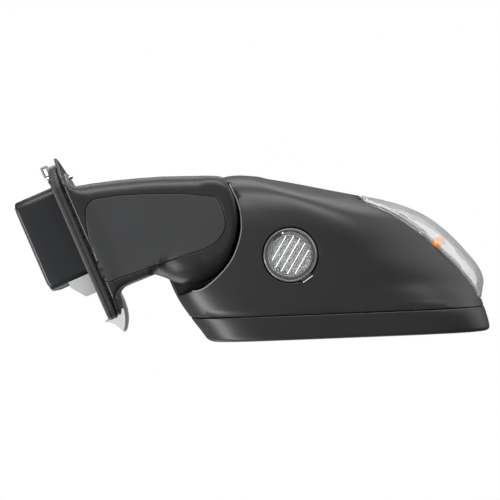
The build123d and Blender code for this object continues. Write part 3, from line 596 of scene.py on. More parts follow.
# lower shell: nose, inboard seam, bezel seam, round the lens, outboard seam
lo_s, end_s, top_s, start_s = lens_loop(SHELL_LOW, 223.7, 55.2, 60.4)
seam_phi = np.linspace(PH_OUT - 0.35, PH_IN + 0.35, 150)
seam_low = np.stack([seam_phi * KP, q_of(on_plane(seam_phi, SEAM - G))], -1)
dphi = 0.2
nose = np.stack([np.linspace(PH_OUT - dphi, PH_IN + dphi, 60) * KP, np.zeros(60)], -1)
phs = start_s[:, 0] / KP
cut_i = int(np.argmin(np.abs(phs - PH_OUT)))
seam_front_q = start_s[cut_i, 1]
out_a = resample([[(PH_OUT - dphi) * KP, 0], [(PH_OUT - dphi) * KP, seam_front_q]], 2.0)
end_phi = end_s[:, 0] / KP
end_low = end_s[end_phi < PH_OUT - 1.0]
out_b = resample([[(PH_OUT - dphi) * KP, end_s[0, 1]], [(PH_OUT - dphi) * KP, seam_low[0, 1]]], 1.5)
st_low = start_s[phs < PH_OUT - 0.8]
in_a = resample([[(PH_IN + dphi) * KP, seam_low[-1, 1]], [(PH_IN + dphi) * KP, 0]], 2.5)
lower_loop = np.vstack([out_a[:-1], st_low, lo_s[1:], end_low[1:], out_b[:-1], seam_low[:-1], in_a[:-1], nose[::-1][:-1]])

# cut-out round the arm
EDGE = [(91.6, 49.0), (99.4, 47.9), (107.0, 43.0), (115.8, 34.7), (122.8, 25.6), (127.6, 15.0), (130.2, 4.0), (130.4, -4.0),
        (129.2, -13.5), (126.6, -21.6), (123.4, -28.4), (120.6, -34.5)]


def spline_pts(pts, n=12):
    p = np.asarray(pts, float)
    p = np.vstack([2 * p[0] - p[1], p, 2 * p[-1] - p[-2]])
    out = []
    for i in range(1, len(p) - 2):
        for t in np.linspace(0, 1, n, endpoint=False):
            a, b, c, d = p[i - 1], p[i], p[i + 1], p[i + 2]
            out.append(0.5 * (2 * b + (c - a) * t + (2 * a - 5 * b + 4 * c - d) * t * t + (3 * b - a - 3 * c + d) * t ** 3))
    out.append(p[-2])
    return np.array(out)


edge_plan = resample(spline_pts(EDGE), 1.3)
edge_ab = np.array([[phi_at(x, y) * KP, q_of(y)] for x, y in edge_plan])
ez = head_surf(edge_ab)[0][:, 2]
FLOOR_Z = -6.0
keep = ez < FLOOR_Z
edge_ab, edge_plan = edge_ab[keep], edge_plan[keep]
yF, yG = edge_plan[-1, 1], None
rear_cut = resample([(91.6, 49.0), (86.0, 51.3), (80.0, 53.8), (70, 58)], 1.0)
rc, rcp = [], []
for x, y in rear_cut:
    if x < XI(y) + 0.8:
        break
    ph = phi_at(x, y)
    z = head_pt(ph, y)[2]
    if z > FLOOR_Z:
        break
    rc.append([ph * KP, q_of(y)])
    rcp.append((x, y))
yG = rcp[-1][1]
ys = np.linspace(yG, yF, 90)
contour = []
for y in ys:
    if ZB(y) > FLOOR_Z - 0.2:
        continue
    ph = phi_z(FLOOR_Z, y, 269.0, 181.0) if head_pt(269.0, y)[2] < FLOOR_Z else None
    if ph:
        contour.append([ph * KP, q_of(y)])
contour = np.array(contour)
arm_hole = closed(np.vstack([edge_ab[::-1], np.array(rc)[1:], contour]), 1.3)
LAMP = (167.5, 21.3)
LAMP_R = 20.9
lampc = []
for a in np.linspace(0, 2 * math.pi, 72, endpoint=False):
    x, y = LAMP[0] + (LAMP_R + 0.35) * math.cos(a), LAMP[1] + (LAMP_R + 0.35) * math.sin(a)
    lampc.append([phi_at(x, y) * KP, q_of(y)])
lampc = np.array(lampc)

n_nose = len(lower_loop) - len(nose) + 1
lower = patch("lower_shell_skin", [lower_loop, arm_hole, lampc], head_surf, 3.0, "satin", "head",
              ("lower_shell",), roll=0.8, depth=3.0,
              no_roll=lambda P: P[:, 1] < -41.1, cap=((128.5, -41.3, 32.0), list(range(n_nose, len(lower_loop))) + [0]))

# upper cover
phu = np.linspace(PH_IN - 0.35, 3.35, 170)
seam_up = np.stack([(360 + phu) * KP, q_of(on_plane(phu, SEAM - G))], -1)
nose_u = np.stack([(360 + np.linspace(PH_IN - dphi, 3 + dphi, 60)) * KP, np.zeros(60)], -1)
st_up = start_s[phs > PH_OUT + 0.8]
end_up = end_s[end_phi > PH_OUT + 1.0]
up_a = resample([[(363 + dphi) * KP, 0], [(363 + dphi) * KP, seam_front_q]], 2.0)
up_b = resample([[(363 + dphi) * KP, end_s[0, 1]], [(363 + dphi) * KP, seam_up[-1, 1]]], 1.5)
up_in = resample([[(360 + PH_IN - dphi) * KP, seam_up[0, 1]], [(360 + PH_IN - dphi) * KP, 0]], 2.5)
upper_loop = np.vstack([up_a[:-1], st_up[::-1], top_s[::-1], end_up[::-1], up_b[:-1], seam_up[::-1][:-1], up_in[:-1], nose_u[:-1]])
n_nu = len(upper_loop) - len(nose_u) + 1
upper = patch("upper_cover_skin", [upper_loop], head_surf, 3.2, "satin", "head",
              ("upper_cover",), roll=0.8, depth=3.0,
              no_roll=lambda P: P[:, 1] < -41.1, cap=((128.5, -41.3, 32.0), list(range(n_nu, len(upper_loop))) + [0]))

# wall and floor of the recess that the arm's round end sits in
ring3 = head_surf(arm_hole)[0]
nrm3 = head_surf(arm_hole)[1]
w0 = ring3 - nrm3 * 0.8
w1 = w0.copy()
w1[:, 2] = np.maximum(w0[:, 2], FLOOR_Z + 0.4)
nr = len(w0)
add_mesh("arm_recess_wall", np.vstack([w0, w1]), [(i, (i + 1) % nr, nr + (i + 1) % nr, nr + i) for i in range(nr)], "dark", "head")
fl_t = geometry.tessellate_polygon([[Vector((p[0], p[1], 0)) for p in w1]])
add_mesh("arm_recess_floor", np.vstack([w1 + [0, 0, 0.0]]), [tuple(t) for t in fl_t], "dark", "head", smooth=False)


# ------------------------------------------------------------------ rear bezel
def section_inward(phi, y):
    a = head_pt(phi + 0.3, y) - head_pt(phi - 0.3, y)
    n = np.stack([-a[..., 2], np.zeros_like(a[..., 0]), a[..., 0]], -1)
    n /= np.linalg.norm(n, axis=-1, keepdims=True)
    return n


# spread the angles evenly along the section
_ph = np.linspace(0, 360, 2881)
_pp = head_pt(_ph, np.full_like(_ph, 76.0))
_s = np.concatenate([[0], np.cumsum(np.linalg.norm(np.diff(_pp, axis=0), axis=1))])
BN = 300
bph = np.interp(np.linspace(0, _s[-1], BN, endpoint=False), _s, _ph)
ys0, ys1 = on_plane(bph, SEAM + G), on_plane(bph, REAR)
prof = [(3.2, "s", 0.0), (1.2, "s", 0.0), (0.8, "s", 0.0), (0.45, "s", 0.10), (0.2, "s", 0.28), (0.05, "s", 0.52), (0.0, "s", 0.8)]
prof += [(0.0, "f", f) for f in (0.12, 0.25, 0.4, 0.55, 0.7)]
RR = 3.0
prof += [(RR * (1 - math.cos(t)), "r", -RR * (1 - math.sin(t))) for t in np.radians([0, 15, 30, 45, 60, 75, 90])]
prof += [(5.0, "r", 0.0), (6.0, "r", -0.35), (6.7, "r", -1.1), (7.0, "r", -2.1), (7.6, "r", -6.0), (8.2, "r", -12.0), (8.4, "r", -17.0), (11.5, "r", -17.4)]
rows = []
for ins, kind, val in prof:
    if kind == "s":
        y = ys0 + val
    elif kind == "f":
        y = ys0 + (ys1 - ys0) * val
    else:
        y = ys1 + val
    P = head_pt(bph, y)
    P = P + section_inward(bph, y) * ins * np.sign(np.sum(section_inward(bph, y) * (np.array([206.0, 0, 37.0]) - P) * [1, 0, 1], -1))[:, None]
    rows.append(P)
bv_v = np.vstack(rows)
bf = []
for r in range(len(rows) - 1):
    for i in range(BN):
        j = (i + 1) % BN
        bf.append((r * BN + i, r * BN + j, (r + 1) * BN + j, (r + 1) * BN + i))
bez = add_mesh("rear_bezel_ring", bv_v, bf, "bezel", "head", ("rear_bezel",))

# ------------------------------------------------------------------ arm: underside as a height field over its plan
PIV = np.array([90.5, 10.0])
BOWL_R = 33.8
ARC = [(PIV[0] + BOWL_R * math.cos(math.radians(a)), PIV[1] + BOWL_R * math.sin(math.radians(a))) for a in range(20, 135, 5)]
LOBE = [(112.5, -38.6), (116.6, -37.6), (118.8, -35.0), (121.4, -30.6), (123.6, -26.0), (125.4, -20.8), (126.6, -15.6),
        (127.5, -9.5), (127.7, -3.5), (127.2, 3.0), (125.8, 10.0), (124.0, 15.8)]


def uv2(u, v):
    return (DU[0] * u + DV[0] * v, DU[1] * u + DV[1] * v)


ARM = [(16, -32.9), (34.3, -35.3), (52.7, -37.1), (70, -38.3), (90, -38.7), (104, -38.9)] + LOBE + ARC[:-2] + \
      [(64.6, 36.0), (56, 39.6), (45, 43.9), (39.4, 46.4), (36.4, 49.6), (35.0, 54.0)] + \
      [uv2(70, 10.2), uv2(73.5, 9.4), uv2(60, 9.3), uv2(20, 9.3), uv2(-29, 9.3), uv2(-31.5, 10.4), (4.4, -30.6)]
arm_out = closed(ARM, 0.9)
arm_out = smooth_closed(arm_out, 1.0, 1)
A_kd = kdtree.KDTree(len(arm_out))
for i, p in enumerate(arm_out):
    A_kd.insert((p[0], p[1], 0), i)
A_kd.balance()


def arm_radius(p):
    d = p - PIV
    ang = math.degrees(math.atan2(d[1], d[0])) % 360
    v = p[0] * DV[0] + p[1] * DV[1]
    u = p[0] * DU[0] + p[1] * DU[1]
    if v < 11.0:
        return 1.6
    r = 12.0 if p[1] < -30 and p[0] < 100 else (9.0 if p[1] < -34 else 5.5)
    if math.hypot(*d) < BOWL_R + 9 and p[0] > 66:
        if ang < 180:
            k = min(1, max(0, (ang - 2) / 60.0))
            k = k * k * (3 - 2 * k)
            e = min(1, max(0, (146 - ang) / 12.0))
            r = 5.5 + (23 - 5.5) * k * e
        elif p[1] > -30:
            r = 5.5
    elif p[1] > 20:
        r = 6.0
    if v < 26:
        t = (v - 11.0) / 15.0
        r = 1.6 + (r - 1.6) * max(0, t) ** 0.7
    return r


A_R = np.array([arm_radius(p) for p in arm_out])
ker = np.hanning(13)
ker /= ker.sum()
A_R = np.convolve(np.concatenate([A_R[-6:], A_R, A_R[:6]]), ker, "valid")
FLANGE_V0 = 9.3


def arm_z(xy):
    xy = np.asarray(xy, float)
    out = np.empty(len(xy))
    for k, p in enumerate(xy):
        near = A_kd.find_n((p[0], p[1], 0), 1)[0]
        d, i = near[2], near[1]
        r = A_R[i]
        base = -38.0
        v = p[0] * DV[0] + p[1] * DV[1]
        if v < 27:
            t = min(1.0, max(0.0, (27 - v) / 12.0))
            base -= 2.2 * t * t
        dd = min(d, r)
        out[k] = base + r - math.sqrt(max(0.0, r * r - (r - dd) ** 2))
    return out


def arm_surf(ab):
    ab = np.asarray(ab, float)
    z = arm_z(ab)
    e = 0.35
    gx = (arm_z(ab + [e, 0]) - arm_z(ab - [e, 0])) / (2 * e)
    gy = (arm_z(ab + [0, e]) - arm_z(ab - [0, e])) / (2 * e)
    gx, gy = np.clip(gx, -6, 6), np.clip(gy, -6, 6)
    n = np.stack([gx, gy, -np.ones(len(ab))], -1)
    n /= np.linalg.norm(n, axis=1, keepdims=True)
    return np.stack([ab[:, 0], ab[:, 1], z], -1), n


PANEL = [(24.6, -21.4), (39.2, -23.7), (61.7, -24.9), (84.3, -24.9), (99.4, -23.6), (109.5, -22.6), (112.6, -21.4),
         (114.6, -18.6), (117.2, -12.0), (118.6, -5.0), (118.4, 0.8), (116.8, 5.0), (113.6, 9.4), (109.6, 13.2),
         (105.0, 15.8), (99.4, 17.9), (84.3, 22.8), (69.3, 28.0), (54.2, 33.3), (39.2, 38.6), (30.6, 41.6), (27.4, 40.4),
         (25.0, 36.0), (19.5, 22.0), (15.6, 8.0), (13.4, -4.0), (13.2, -13.0), (15.8, -18.4), (19.6, -20.7)]
pan = smooth_closed(closed(PANEL, 2.0), 1.2, 2)
ext = []
nl = loop_normals(arm_out, [arm_out])
for f in (0.02, 0.06, 0.13, 0.22, 0.34, 0.48, 0.64, 0.82, 1.0, 1.15):
    c = arm_out + nl * (A_R * f)[:, None]
    ok = inside(c, [arm_out])
    c = c[ok]
    dd = np.array([A_kd.find((p[0], p[1], 0))[2] for p in c])
    ext.append(c[dd > (A_R * f)[ok] * 0.93])
ext = np.vstack(ext)
ext = ext[~inside(ext, [offset_loop(pan, -1.5)])]
grid_ok = None
arm_cover = patch("arm_cover_underside", [arm_out, offset_loop(pan, -0.22)], arm_surf, 3.2, "satin", "base",
                  ("arm_cover",), roll=0.45, depth=2.5, no_roll=lambda P: ~inside(P[:, :2], [offset_loop(pan, -1.5)]), extra=ext)
patch("arm_service_panel", [offset_loop(pan, 0.22)], arm_surf, 3.4, "panel", "base", ("arm_panel",),
      roll=0.5, depth=2.5)
patch("arm_panel_seat", [offset_loop(pan, -1.6)], lambda ab: (lambda q: (q[0] - q[1] * 1.6, q[1]))(arm_surf(ab)), 5.0, "dark", "base",
      (), roll=0.1, depth=0.4)

# sides and top of the arm
zs0 = arm_z(arm_out)
vv = arm_out @ np.array([DV[0], DV[1]])
tt = np.clip((34 - vv) / 22.0, 0, 1)
ztop = -9.0 + 30.0 * tt * tt * (3 - 2 * tt)
n = len(arm_out)
inn = loop_normals(arm_out, [arm_out])
arows = []
for f in (0, 0.3, 0.6, 0.85):
    z = zs0 * (1 - f) + (ztop - 1.6) * f
    arows.append(np.column_stack([arm_out, z]))
arows.append(np.column_stack([arm_out, ztop - 1.6]))
for t in (30, 60, 90):
    a = math.radians(t)
    arows.append(np.column_stack([arm_out + inn * 1.6 * (1 - math.cos(a)), ztop - 1.6 * (1 - math.sin(a))]))
AV = np.vstack(arows)
AF = []
for r in range(len(arows) - 1):
    for i in range(n):
        j = (i + 1) % n
        AF.append((r * n + i, r * n + j, (r + 1) * n + j, (r + 1) * n + i))


def top_surf(ab):
    ab = np.asarray(ab, float)
    v = ab @ np.array([DV[0], DV[1]])
    t = np.clip((34 - v) / 22.0, 0, 1)
    z = -9.0 + 30.0 * t * t * (3 - 2 * t)
    g = 30.0 * 6 * t * (1 - t) * (-1 / 22.0)
    nn = np.stack([-g * DV[0], -g * DV[1], np.ones(len(ab))], -1)
    nn /= np.linalg.norm(nn, axis=1, keepdims=True)
    return np.column_stack([ab, z]), nn


patch("arm_cover_top", [offset_loop(arm_out, 1.6)], top_surf, 3.0, "satin", "base", (), roll=0.05, depth=0.5, skirt=False)
side = add_mesh("arm_cover_body", AV, AF, "satin", "base", (), auto=50)

# painted highlight round the recess in the head: a light grey tube along its edge
eP, eN = head_surf(edge_ab)
RIM_HIGHLIGHT = eP - eN * 0.25

# ------------------------------------------------------------------ flange, seal and plug
FL = [(-30, -39.6), (70, -39.6), (75.5, -36.5), (76.8, -28), (70, 10), (62, 34), (48, 52), (24, 58), (-4, 56), (-27, 44), (-44, 26),
      (-53, 11), (-55.5, 2), (-50, -10), (-41, -26), (-36, -36)]
flo_ = smooth_closed(closed(FL, 4.0), 2.0, 2)


def flange_v(u, z):
    a = np.interp(u, [-56, -48, -40, -33, -24, -15, 40, 60, 72, 78], [9.3, 9.9, 10.4, 11.2, 13.2, 14.6, 13.4, 11.8, 10.4, 10.0])
    return a


def flange_surf(ab):
    ab = np.asarray(ab, float)
    v = flange_v(ab[:, 0], ab[:, 1])
    e = 0.5
    g = (flange_v(ab[:, 0] + e, 0) - flange_v(ab[:, 0] - e, 0)) / (2 * e)
    nn = DV[None] - DU[None] * g[:, None]
    nn /= np.linalg.norm(nn, axis=1, keepdims=True)
    return uvz(ab[:, 0], ab[:, 1], v), nn


patch("flange_plate", [flo_], flange_surf, 4.0, "satin", "base", (), roll=1.5, depth=2.1)
# inboard lip of the flange, set back to leave the groove
fb0 = uvz(flo_[:, 0], flo_[:, 1], np.minimum(9.2, flange_v(flo_[:, 0], 0) - 1.0))
fs0 = flange_surf(flo_)
m = len(flo_)
fin2 = offset_loop(flo_, 3.2)
fb1 = uvz(fin2[:, 0], fin2[:, 1], np.minimum(9.2, flange_v(fin2[:, 0], 0) - 1.0))
side0 = fs0[0] - fs0[1] * 1.5
add_mesh("flange_rim", np.vstack([side0, fb0, fb1]), [(r * m + i, r * m + (i + 1) % m, (r + 1) * m + (i + 1) % m, (r + 1) * m + i)
                                                   for r in (0, 1) for i in range(m)], "satin", "base", auto=35)


def band(name, loop, prof, mat, replaces=(), fill_first=None, fill_last=None, auto=None):
    """A ring swept along a (u, z) outline: prof is a list of (inset, v)."""
    k = len(loop)
    rws = []
    for ins, v in prof:
        L = offset_loop(loop, ins) if ins else loop
        rws.append(uvz(L[:, 0], L[:, 1], v))
    V = np.vstack(rws)
    F = [(r * k + i, r * k + (i + 1) % k, (r + 1) * k + (i + 1) % k, (r + 1) * k + i) for r in range(len(prof) - 1) for i in range(k)]
    for which in (fill_first, fill_last):
        if which is not None:
            L = offset_loop(loop, prof[which][0]) if prof[which][0] else loop
            t = geometry.tessellate_polygon([[Vector((p[0], p[1], 0)) for p in L]])
            b = (which % len(prof)) * k
            F += [tuple(b + q for q in f) for f in t]
    return add_mesh(name, V, F, mat, "base", replaces, auto=auto)


SL = [(-31, -40.3), (72, -40.3), (77, -36), (77.6, -28), (70.6, 10.4), (62.6, 34.6), (48.4, 52.8), (24, 58.8), (-5, 56.8),
      (-27.5, 44.6), (-42, 26.4), (-48.5, 11), (-49.5, 1), (-46, -12.4), (-40.6, -26.4), (-36.4, -36.8)]
seal_o = smooth_closed(closed(SL, 4.0), 2.0, 2)
band("seal_gasket", seal_o, [(14, 7.0), (1.2, 7.0), (0.5, 6.7), (0.1, 6.1), (0, 5.4), (0, 4.4), (0.5, 4.1), (0.5, 3.5), (0, 3.2), (0, 1.6),
                             (0.3, 0.6), (1.0, 0.1), (2.0, 0.0), (6.0, 0.0), (6.4, 0.5), (12.0, 0.5), (12.4, 0.0), (14.0, 0.0)],
     "rubber", ("door_seal",), auto=40)
band("groove_filler", offset_loop(seal_o, 2.2), [(0, 9.4), (0, 6.9)], "dark", (), 0, 1)


def rrect(u0, u1, z0, z1, r, k=10):
    out = []
    for cx, cz, a0 in ((u1 - r, z0 + r, -90), (u1 - r, z1 - r, 0), (u0 + r, z1 - r, 90), (u0 + r, z0 + r, 180)):
        for a in np.linspace(a0, a0 + 90, k):
            out.append((cx + r * math.cos(math.radians(a)), cz + r * math.sin(math.radians(a))))
    return closed(np.array(out), 1.6)


plug_o = rrect(-33.2, 40.0, -30.0, 30.0, 8.0)
band("plug_shell", plug_o, [(0, 9.0), (0, 2.0), (0, -20), (0, -30.2), (0.3, -31.1), (1.0, -31.8), (2.0, -32.2), (3.2, -32.3), (3.4, -32.0), (3.6, -27)],
     "plug", ("plug_shroud",), auto=50)

# sail trim, a crescent standing behind the flange, in a pale grey that paints the sheen of black plastic seen at a
# grazing angle
FIN = [(57.0, 9.8), (61.5, 10.4), (66.5, 10.6), (71.5, 10.4), (76.4, 9.7), (80.6, 8.6), (84.4, 7.1), (87.6, 5.3), (90.2, 3.4), (91.5, 1.4),
       (91.0, -0.2), (89.2, -1.4), (86.6, -2.6), (83.6, -4.6), (80.8, -7.4), (78.8, -10.2), (77.2, -9.2), (76.6, -6.0), (76.2, -3.0),
       (75.0, 0.4), (71.6, 3.6), (66.0, 6.2), (60.0, 7.8)]
fin_o = smooth_closed(closed(np.array(FIN) + [-0.8, 1.3], 1.2), 0.8, 2)
k = len(fin_o)
fn = loop_normals(fin_o, [fin_o])
frw = []
FZ0, FZ1 = 14.0, 42.0
for ins, z in ((2.6, FZ0), (1.9, FZ0 + 0.15), (1.0, FZ0 + 0.8), (0.35, FZ0 + 1.8), (0.0, FZ0 + 3.2), (0, FZ0 + 18), (0, FZ1 - 6), (0.3, FZ1 - 3.4),
               (1.0, FZ1 - 1.2), (2.0, FZ1 - 0.2), (2.6, FZ1)):
    L = fin_o + fn * min(ins, 1.6)
    L = np.column_stack([L[:, 0] - 0.06 * max(0, z - 30), L[:, 1]])
    frw.append(uvz(L[:, 0], z, L[:, 1]))
FF = [(r * k + i, r * k + (i + 1) % k, (r + 1) * k + (i + 1) % k, (r + 1) * k + i) for r in range(len(frw) - 1) for i in range(k)]
tes = geometry.tessellate_polygon([[Vector((p[0], p[1], 0)) for p in fin_o]])
FF += [tuple(t) for t in tes] + [tuple((len(frw) - 1) * k + q for q in t) for t in tes]
add_mesh("sail_trim_painted_sheen", np.vstack(frw), FF, "sail_sheen_grey", "base", ("sail_trim",), auto=55)

# ------------------------------------------------------------------ turn signal on the front outboard corner
BULGE = 0.5


def lens_skin(off):
    def f(ab):
        P, N = head_surf(ab)
        return P + N * off, N
    return f


lo_l, end_l, top_l, start_l = lens_loop(LENS_LOW, 225.2, 54.6, 59.6)
lens_loop_ab = np.vstack([lo_l[:-1], end_l[:-1], top_l[:-1], start_l[:-1]])
patch("signal_lens", [lens_loop_ab], lens_skin(BULGE), 2.6, "lens", "head", ("indicator_lens",), roll=1.1, depth=2.6, thick=2.2)
# light bed behind the lens with a lengthwise groove and fine flutes
bed_loop = offset_loop(lens_loop_ab, 0.5)


def bed_heights(P, N, d):
    a = P[:, 2]
    g = np.exp(-((a - 27) / 2.2) ** 2) * 2.6
    return P - N * (g + 0.35 * (1 + np.sin(a * 2.6)))[:, None]


patch("signal_reflector", [bed_loop], lens_skin(-3.4), 1.5, "lampgrey", "head", (), roll=1.0, depth=3.5, heights=bed_heights)
lo_w, end_w, top_w, start_w = lens_loop(SHELL_LOW, 222.5, 56.4, 61.6)
well_loop = np.vstack([lo_w[:-1], end_w[:-1], top_w[:-1], start_w[:-1]])
patch("signal_well", [offset_loop(well_loop, -2.0)], lens_skin(-7.5), 5.0, "dark", "head", (), roll=0.2, depth=0.4)
# painted highlight: a thin near-white tube along the lens's lower edge
ring = head_surf(lo_l)[0] + head_surf(lo_l)[1] * (BULGE - 0.9)


def tube(name, path, r, mat, body, sides=10, cap=True):
    path = np.asarray(path, float)
    T_ = np.gradient(path, axis=0)
    T_ /= np.linalg.norm(T_, axis=1, keepdims=True)
    up = np.array([0, 0, 1.0])
    V, F = [], []
    for p, t in zip(path, T_):
        a = np.cross(t, up)
        a /= np.linalg.norm(a) + 1e-9
        b = np.cross(t, a)
        for q in range(sides):
            w = 2 * math.pi * q / sides
            V.append(p + r * (math.cos(w) * a + math.sin(w) * b))
    for i in range(len(path) - 1):
        for q in range(sides):
            s = (q + 1) % sides
            F.append((i * sides + q, i * sides + s, (i + 1) * sides + s, (i + 1) * sides + q))
    if cap:
        F.append(tuple(range(sides)))
        F.append(tuple((len(path) - 1) * sides + q for q in range(sides)))
    return add_mesh(name, V, F, mat, body)


tube("arm_recess_rim_highlight", RIM_HIGHLIGHT[1:-1], 0.5, "painted_rim_highlight", "head", 8)
tube("signal_lens_edge_highlight", ring[2:][ring[2:, 0] < 268.5], 0.34, "painted_highlight_white", "head")


def sphere(name, c, r, sx, axis, mat, body, seg=24, rings=14):
    axis = np.array(axis, float)
    axis /= np.linalg.norm(axis)
    a = np.cross(axis, [0, 0, 1.0])
    a /= np.linalg.norm(a)
    b = np.cross(axis, a)
    V, F = [], []
    for i in range(rings + 1):
        th = math.pi * i / rings
        for j in range(seg):
            w = 2 * math.pi * j / seg
            V.append(np.array(c) + axis * r * sx * math.cos(th) + r * math.sin(th) * (math.cos(w) * a + math.sin(w) * b))
    for i in range(rings):
        for j in range(seg):
            k2 = (j + 1) % seg
            F.append((i * seg + j, i * seg + k2, (i + 1) * seg + k2, (i + 1) * seg + j))
    return add_mesh(name, V, F, mat, body)


# ------------------------------------------------------------------ puddle lamp: ribbed clear lens in a dark ring
LZ = -38.2


def revolve(name, c, prof, mat, body, seg=120, replaces=(), ripple=None, auto=None):
    V, F = [], []
    for r, z in prof:
        for j in range(seg):
            w = 2 * math.pi * j / seg
            dz = ripple(r, w) if ripple else 0.0
            V.append((c[0] + r * math.cos(w), c[1] + r * math.sin(w), z + dz))
    for i in range(len(prof) - 1):
        for j in range(seg):
            k2 = (j + 1) % seg
            F.append((i * seg + j, i * seg + k2, (i + 1) * seg + k2, (i + 1) * seg + j))
    return add_mesh(name, V, F, mat, body, replaces, auto=auto)


def ringrip(r, w):
    return 0.22 * math.cos(48 * w) if 17.2 < r < 19.2 else 0.0


revolve("puddle_ring", LAMP, [(20.3, -33.0), (20.35, -36.6), (20.3, -37.6), (20.0, -38.2), (19.5, -38.5), (19.0, -38.3), (18.7, -37.7), (18.2, -37.3),
                              (17.5, -37.3), (17.1, -37.7), (16.8, -38.4), (16.4, -38.7), (16.0, -38.5), (15.75, -37.9), (15.6, -33.0)],
        "ringdark", "head", 144, ("puddle_trim",), ringrip)
disc, dfc = [], []
NR, NS = 34, 96
ribdir = math.radians(-30)          # across the ribs
cs, sn = math.cos(ribdir), math.sin(ribdir)
for i in range(NR + 1):
    r = 15.4 * i / NR
    for j in range(NS):
        w = 2 * math.pi * j / NS
        x, y = r * math.cos(w), r * math.sin(w)
        t = (x * cs - y * sn) / 5.0
        h = abs(math.cos(math.pi * t)) ** 6
        dome = 0.9 * (1 - (r / 15.4) ** 2)
        disc.append((LAMP[0] + x, LAMP[1] + y, LZ - 0.2 - dome - 0.9 * h * (1 if r < 14.6 else 0.0)))
for i in range(NR):
    for j in range(NS):
        k2 = (j + 1) % NS
        dfc.append((i * NS + j, i * NS + k2, (i + 1) * NS + k2, (i + 1) * NS + j))
add_mesh("puddle_ribbed_lens", disc, dfc, "plens", "head", ("puddle_lens",))
back = [(x, y, LZ + 3.2 + 0.2 * ((x - LAMP[0]) ** 2 + (y - LAMP[1]) ** 2) ** 0.5 * 0) for x, y, z in disc]
add_mesh("puddle_lens_back", back, dfc, "lampback", "head", ())
# painted highlights: white tubes along the crests of the clear lens ribs
for kk in range(-3, 4):
    off = kk * 5.0
    half = math.sqrt(max(0.0, 14.2 ** 2 - off ** 2))
    if half < 3:
        continue
    cx, cy = LAMP[0] + off * cs, LAMP[1] - off * sn
    dx, dy = sn, cs
    pts = [(cx + dx * t, cy + dy * t, LZ - 0.95 - 0.9 * (1 - ((off * off + t * t) ** 0.5 / 15.4) ** 2)) for t in np.linspace(-half, half, 9)]
    tube("puddle_rib_%d" % (kk + 3), pts, 0.42, "painted_highlight_white", "head", 8)

# notch in the lamp ring with a painted highlight on its outer edge, a dark tab inside the ring as a painted shadow, and
# a small painted glint
def tab(name, ang, r, w, d, z0, z1, mat):
    a = math.radians(ang)
    c = np.array([LAMP[0] + r * math.cos(a), LAMP[1] + r * math.sin(a)])
    er, et = np.array([math.cos(a), math.sin(a)]), np.array([-math.sin(a), math.cos(a)])
    ch = 0.35
    V, F = [], []
    for ins, z in ((0, z1), (0, z0 + ch), (ch, z0)):
        for sx, sy in ((-1, -1), (1, -1), (1, 1), (-1, 1)):
            p = c + er * (d / 2 - ins) * sx + et * (w / 2 - ins) * sy
            V.append((p[0], p[1], z))
    for r_ in range(2):
        for i in range(4):
            j = (i + 1) % 4
            F.append((r_ * 4 + i, r_ * 4 + j, r_ * 4 + 4 + j, r_ * 4 + 4 + i))
    F.append((8, 9, 10, 11))
    F.append((3, 2, 1, 0))
    return add_mesh(name, V, F, mat, "head", smooth=False)


tab("puddle_ring_notch", 54, 20.6, 8.5, 3.0, -39.0, -36.6, "dark")
# painted highlight: a near-white bar on the notch's outer edge
tab("puddle_ring_notch_highlight", 54, 22.3, 8.8, 0.6, -39.0, -36.8, "painted_highlight_white")
# painted shadow: a dark tab where the recess edge shades the inside of the ring
tab("puddle_ring_painted_shadow", 235, 17.6, 9.0, 2.6, -38.9, -37.0, "dark")
# painted glint: a small near-white square in the dark ring
tab("puddle_ring_painted_glint", 250, 17.6, 1.3, 1.3, -39.1, -37.6, "painted_highlight_white")

# amber bulb standing out of the reflector, with a second amber sphere beside it as its painted reflection
pb = phi_at(283.0, 13.0)
bp_, bn_ = head_surf(np.array([[pb * KP, q_of(13.0)]]))
sphere("signal_bulb", bp_[0] - bn_[0] * 4.4, 4.9, 1.25, (0.3, -0.6, -0.6), "amber", "head")
pb = phi_at(287.6, 8.0)
bq_, bm_ = head_surf(np.array([[pb * KP, q_of(8.0)]]))
sphere("signal_bulb_painted_reflection", bq_[0] - bm_[0] * 4.6, 3.4, 1.5, (0.7, 0.5, 0.1), "amber", "head")

# ------------------------------------------------------------------ camera, light, floor
sc = bpy.context.scene
sc.view_settings.view_transform = "Standard"
sc.view_settings.look = "None"
cam_d = bpy.data.cameras.new("cam")
cam = bpy.data.objects.new("cam", cam_d)
sc.collection.objects.link(cam)
CAMZ = -1355.0
cam.location = Vector(row([137.0, 17.5, CAMZ])[0])
cam.rotation_euler = (math.pi, 0, 0)
cam_d.sensor_width = 36.0
# 0.8 mm per pixel at 1400 mm, 500 px wide
cam_d.lens = 36.0 * 1400.0 / 400.0
cam_d.clip_start = 0.05
cam_d.clip_end = 50
sc.camera = cam

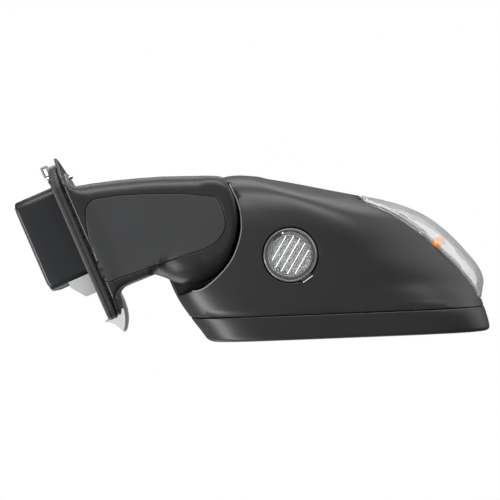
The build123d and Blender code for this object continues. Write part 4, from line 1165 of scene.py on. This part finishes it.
w = bpy.data.worlds.new("studio")
sc.world = w
w.use_nodes = True
nt = w.node_tree
bg = nt.nodes["Background"]
lp = nt.nodes.new("ShaderNodeLightPath")
bg2 = nt.nodes.new("ShaderNodeBackground")
mx = nt.nodes.new("ShaderNodeMixShader")
bg.inputs["Color"].default_value = (0.80, 0.81, 0.82, 1)
bg.inputs["Strength"].default_value = 0.27
bg2.inputs["Color"].default_value = (1, 1, 1, 1)
bg2.inputs["Strength"].default_value = 1.0
nt.links.new(lp.outputs["Is Camera Ray"], mx.inputs["Fac"])
nt.links.new(bg.outputs[0], mx.inputs[1])
nt.links.new(bg2.outputs[0], mx.inputs[2])
nt.links.new(mx.outputs[0], nt.nodes["World Output"].inputs["Surface"])


def area(name, loc, aim, sx, sy, power, col=(1, 1, 1)):
    d = bpy.data.lights.new(name, "AREA")
    d.shape = "RECTANGLE"
    d.size, d.size_y = sx, sy
    d.energy = power
    d.color = col
    o = bpy.data.objects.new(name, d)
    sc.collection.objects.link(o)
    o.location = loc
    o.rotation_euler = (Vector(aim) - Vector(loc)).to_track_quat("-Z", "Y").to_euler()
    return o


MID = (0.17, 0.0, 0.03)
area("front_low", (0.12, -1.15, -0.60), MID, 1.9, 0.42, 30)
area("front_high", (0.2, -1.2, 0.7), MID, 1.6, 0.8, 14)
area("rear_high", (0.1, 1.3, 0.9), MID, 1.6, 0.8, 12)
area("side", (1.5, -0.6, 0.3), MID, 1.2, 1.4, 8)
area("door_side", (-1.25, 0.5, -0.5), MID, 0.7, 0.7, 26)
area("door_rear_low", (-0.75, 1.05, -0.7), MID, 0.6, 0.6, 20)

fl = bpy.data.meshes.new("floor")
S = 12
fl.from_pydata([(-S, -S, -2.2), (S, -S, -2.2), (S, S, -2.2), (-S, S, -2.2)], [], [(0, 1, 2, 3)])
flo = bpy.data.objects.new("floor", fl)
sc.collection.objects.link(flo)
fm, fnt, fb = nodes_of("pale_floor")
fb.inputs["Base Color"].default_value = (0.8, 0.8, 0.79, 1)
fb.inputs["Roughness"].default_value = 0.9
flo.data.materials.append(fm)
